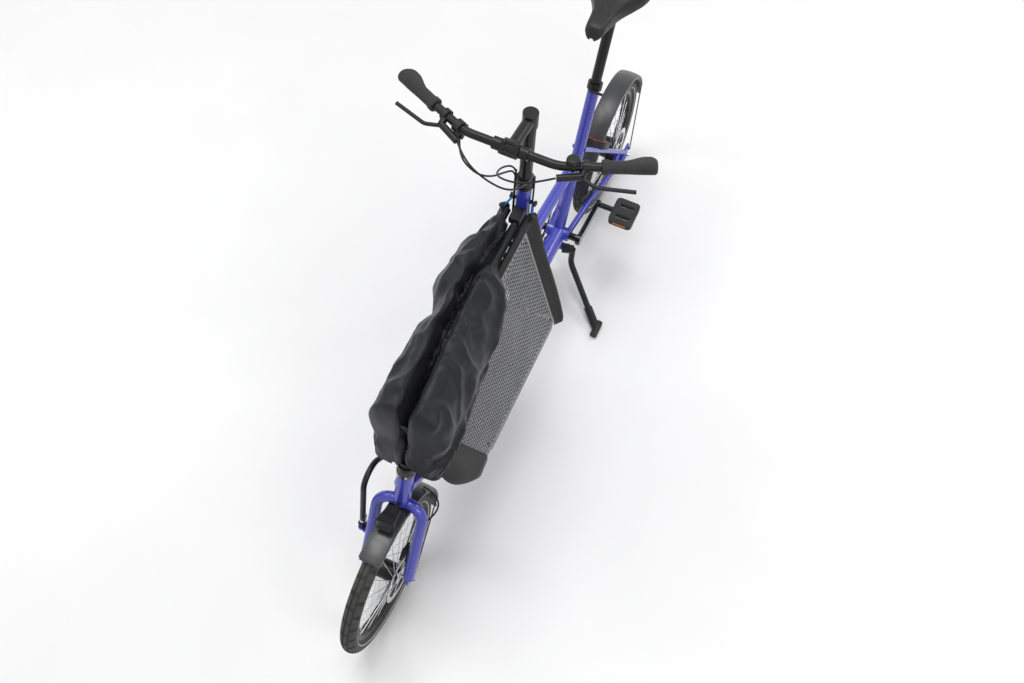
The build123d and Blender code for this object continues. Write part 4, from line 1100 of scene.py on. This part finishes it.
k = frontSteer
steerWay = (frontAxis(100) - frontAxis(0)).normalized()
acrossWay = (frontAxis(0, 10) - frontAxis(0)).normalized()
cup = axisRing(k["cupLow"], k["headTop"] + 0.5, k["cupR"], 0.0016)
headCup = joinPieces("headCup", [cup, axisRing(k["bandLow"], k["bandTop"], k["bandR"], 0.001)])
finishPiece(headCup, glossBlack, "frame")
cupPlaces = [frontAxis(k["boltUp"], k["boltOut"], y) for y in (-k["boltY"], k["boltY"])]
cupBolts = capBolt("cupBolts", cupPlaces, acrossWay, 0.0036, 0.0045)
finishPiece(cupBolts, brightSteel, "frame")
slackHose = bentWire("slackHose", [bike(*point) for point in forkHose], hoseR)
finishPiece(slackHose, hoseBlack, None, 60)
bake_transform(slackHose)
jointPlace = frontAxis(k["jointUp"], 0, -k["arm"])
rings = []
for (low, top, r), bevel in ((k["neck"], 0.0015), (k["sleeve"], 0.001)):
    ends = (jointPlace + steerWay * up / 1000 for up in (low, top))
    rings.append(addRod(*ends, r / 1000, 24, bevel))
linkNeck = joinPieces("linkNeck", rings)
finishPiece(linkNeck, brightSteel, "link")


# stripe on the ring lock, and the cover's buttons

lockStripe = {
    "centre": (172, 0, 457.2), "run": (0.665, 0, 0.747), "lift": (-0.747, 0, 0.665), "top": 20.3, "r": 43,
    "wide": 11, "crown": 1.5, "reach": 78, "thick": 1.2, "along": 40, "across": 6,
}


def lockBand(u, v):
    k = lockStripe
    a = math.radians(k["reach"] * (2 * u - 1))
    r = k["r"] + k["wide"] * (v - 0.5)
    flat = (Vector(k["run"]) * math.cos(a) + Vector((0, 1, 0)) * math.sin(a)) * r
    up = Vector(k["lift"]) * (k["top"] - k["crown"] * (2 * v - 1) ** 2)
    return bike(*(Vector(k["centre"]) + flat + up))


band = gridSheet("lockBand", lockStripe["along"], lockStripe["across"], lockBand)
thicken(band, lockStripe["thick"])
finishPiece(band, lockRed, "frame", 50)
for name, (place, way) in buttons.items():
    snap = capBolt("snapButton_" + name, [place], way, 0.0062, 0.0028)
    finishPiece(snap, brightSteel, None)
    blendSide(snap, name)
print("small fittings done")


# floor, light and camera

studioSet = {
    "floorSize": 60, "floorLow": (0.85, 0.85, 0.855), "floorHigh": (0.87, 0.87, 0.875), "soft": 0.36,
    "sunPlace": (-0.9, -0.7, 4.4), "sun": 1.68, "sunAngle": 34, "aim": (0, 0, 0.5),
    "lamps": [((1.9, 2.4, 3.2), 28, 1.4), ((-2.4, 1.8, 2.6), 21, 1.2), ((0.4, -2.6, 2.8), 18, 1.2)],
}


def addLamp(kind, place, aim, energy):
    bpy.ops.object.light_add(type=kind, location=place)
    lamp = bpy.context.object
    lamp.data.energy = energy
    lamp.rotation_euler = (Vector(aim) - Vector(place)).to_track_quat("-Z", "Y").to_euler()
    return lamp.data


def studio():
    s = studioSet
    clearSelection()
    bpy.ops.mesh.primitive_plane_add(size=s["floorSize"], location=(0, 0, 0))
    floor = activeNamed("paleFloor")
    mat, tree, shader = newFinish("paleFloor", (0.86, 0.86, 0.865), 0.6)
    rampInto(tree, shader.inputs["Base Color"], noiseAt(tree, objectCoords(tree), 3),
             (0.3, s["floorLow"]), (0.7, s["floorHigh"]))
    floor.data.materials.append(mat)
    world = bpy.data.worlds.new("softWorld")
    bpy.context.scene.world = world
    world.use_nodes = True
    tree = world.node_tree
    soft = tree.nodes["Background"]
    soft.inputs["Color"].default_value = (1, 1, 1, 1)
    soft.inputs["Strength"].default_value = s["soft"]
    white = addNode(tree, "ShaderNodeBackground")  # what the camera, metal and glass see
    white.inputs["Color"].default_value = (1, 1, 1, 1)
    path = addNode(tree, "ShaderNodeLightPath")
    seen = math2(tree, "MAXIMUM", path.outputs["Is Camera Ray"], path.outputs["Is Glossy Ray"])
    seen = math2(tree, "MAXIMUM", seen, path.outputs["Is Transmission Ray"])
    mix = addNode(tree, "ShaderNodeMixShader")
    for socket, source in zip(mix.inputs, (seen, soft.outputs[0], white.outputs[0])):
        tree.links.new(source, socket)
    tree.links.new(mix.outputs[0], tree.nodes["World Output"].inputs["Surface"])
    addLamp("SUN", s["sunPlace"], (0, 0, 0), s["sun"]).angle = math.radians(s["sunAngle"])
    for place, energy, size in s["lamps"]:
        addLamp("AREA", place, s["aim"], energy).size = size


cameraSet = {
    "place": (2283.2, 624.4, 3275.2), "azimuth": 22.3, "elevation": 62.3, "roll": 2.2, "focal": 1119.9,
    "width": 1024, "sensor": 36,  # focal and width in the photo's pixels
}


def photoCamera():
    c = cameraSet
    az, el, roll = (math.radians(c[k]) for k in ("azimuth", "elevation", "roll"))
    back = Vector((math.cos(el) * math.cos(az), math.cos(el) * math.sin(az), math.sin(el)))
    right = (-back).cross(Vector((0, 0, 1))).normalized()
    up = right.cross(-back)
    turnedRight = right * math.cos(roll) + up * math.sin(roll)
    turnedUp = up * math.cos(roll) - right * math.sin(roll)
    data = bpy.data.cameras.new("photoCamera")
    data.sensor_width = c["sensor"]
    data.lens = c["focal"] / c["width"] * c["sensor"]
    cam = bpy.data.objects.new("photoCamera", data)
    bpy.context.collection.objects.link(cam)
    place = Matrix((turnedRight, turnedUp, back)).transposed().to_4x4()
    place.translation = bike(*c["place"])
    cam.matrix_world = place
    bpy.context.scene.camera = cam


studio()
photoCamera()
bpy.context.scene.view_settings.view_transform = "Standard"
clearSelection()
print("scene done")
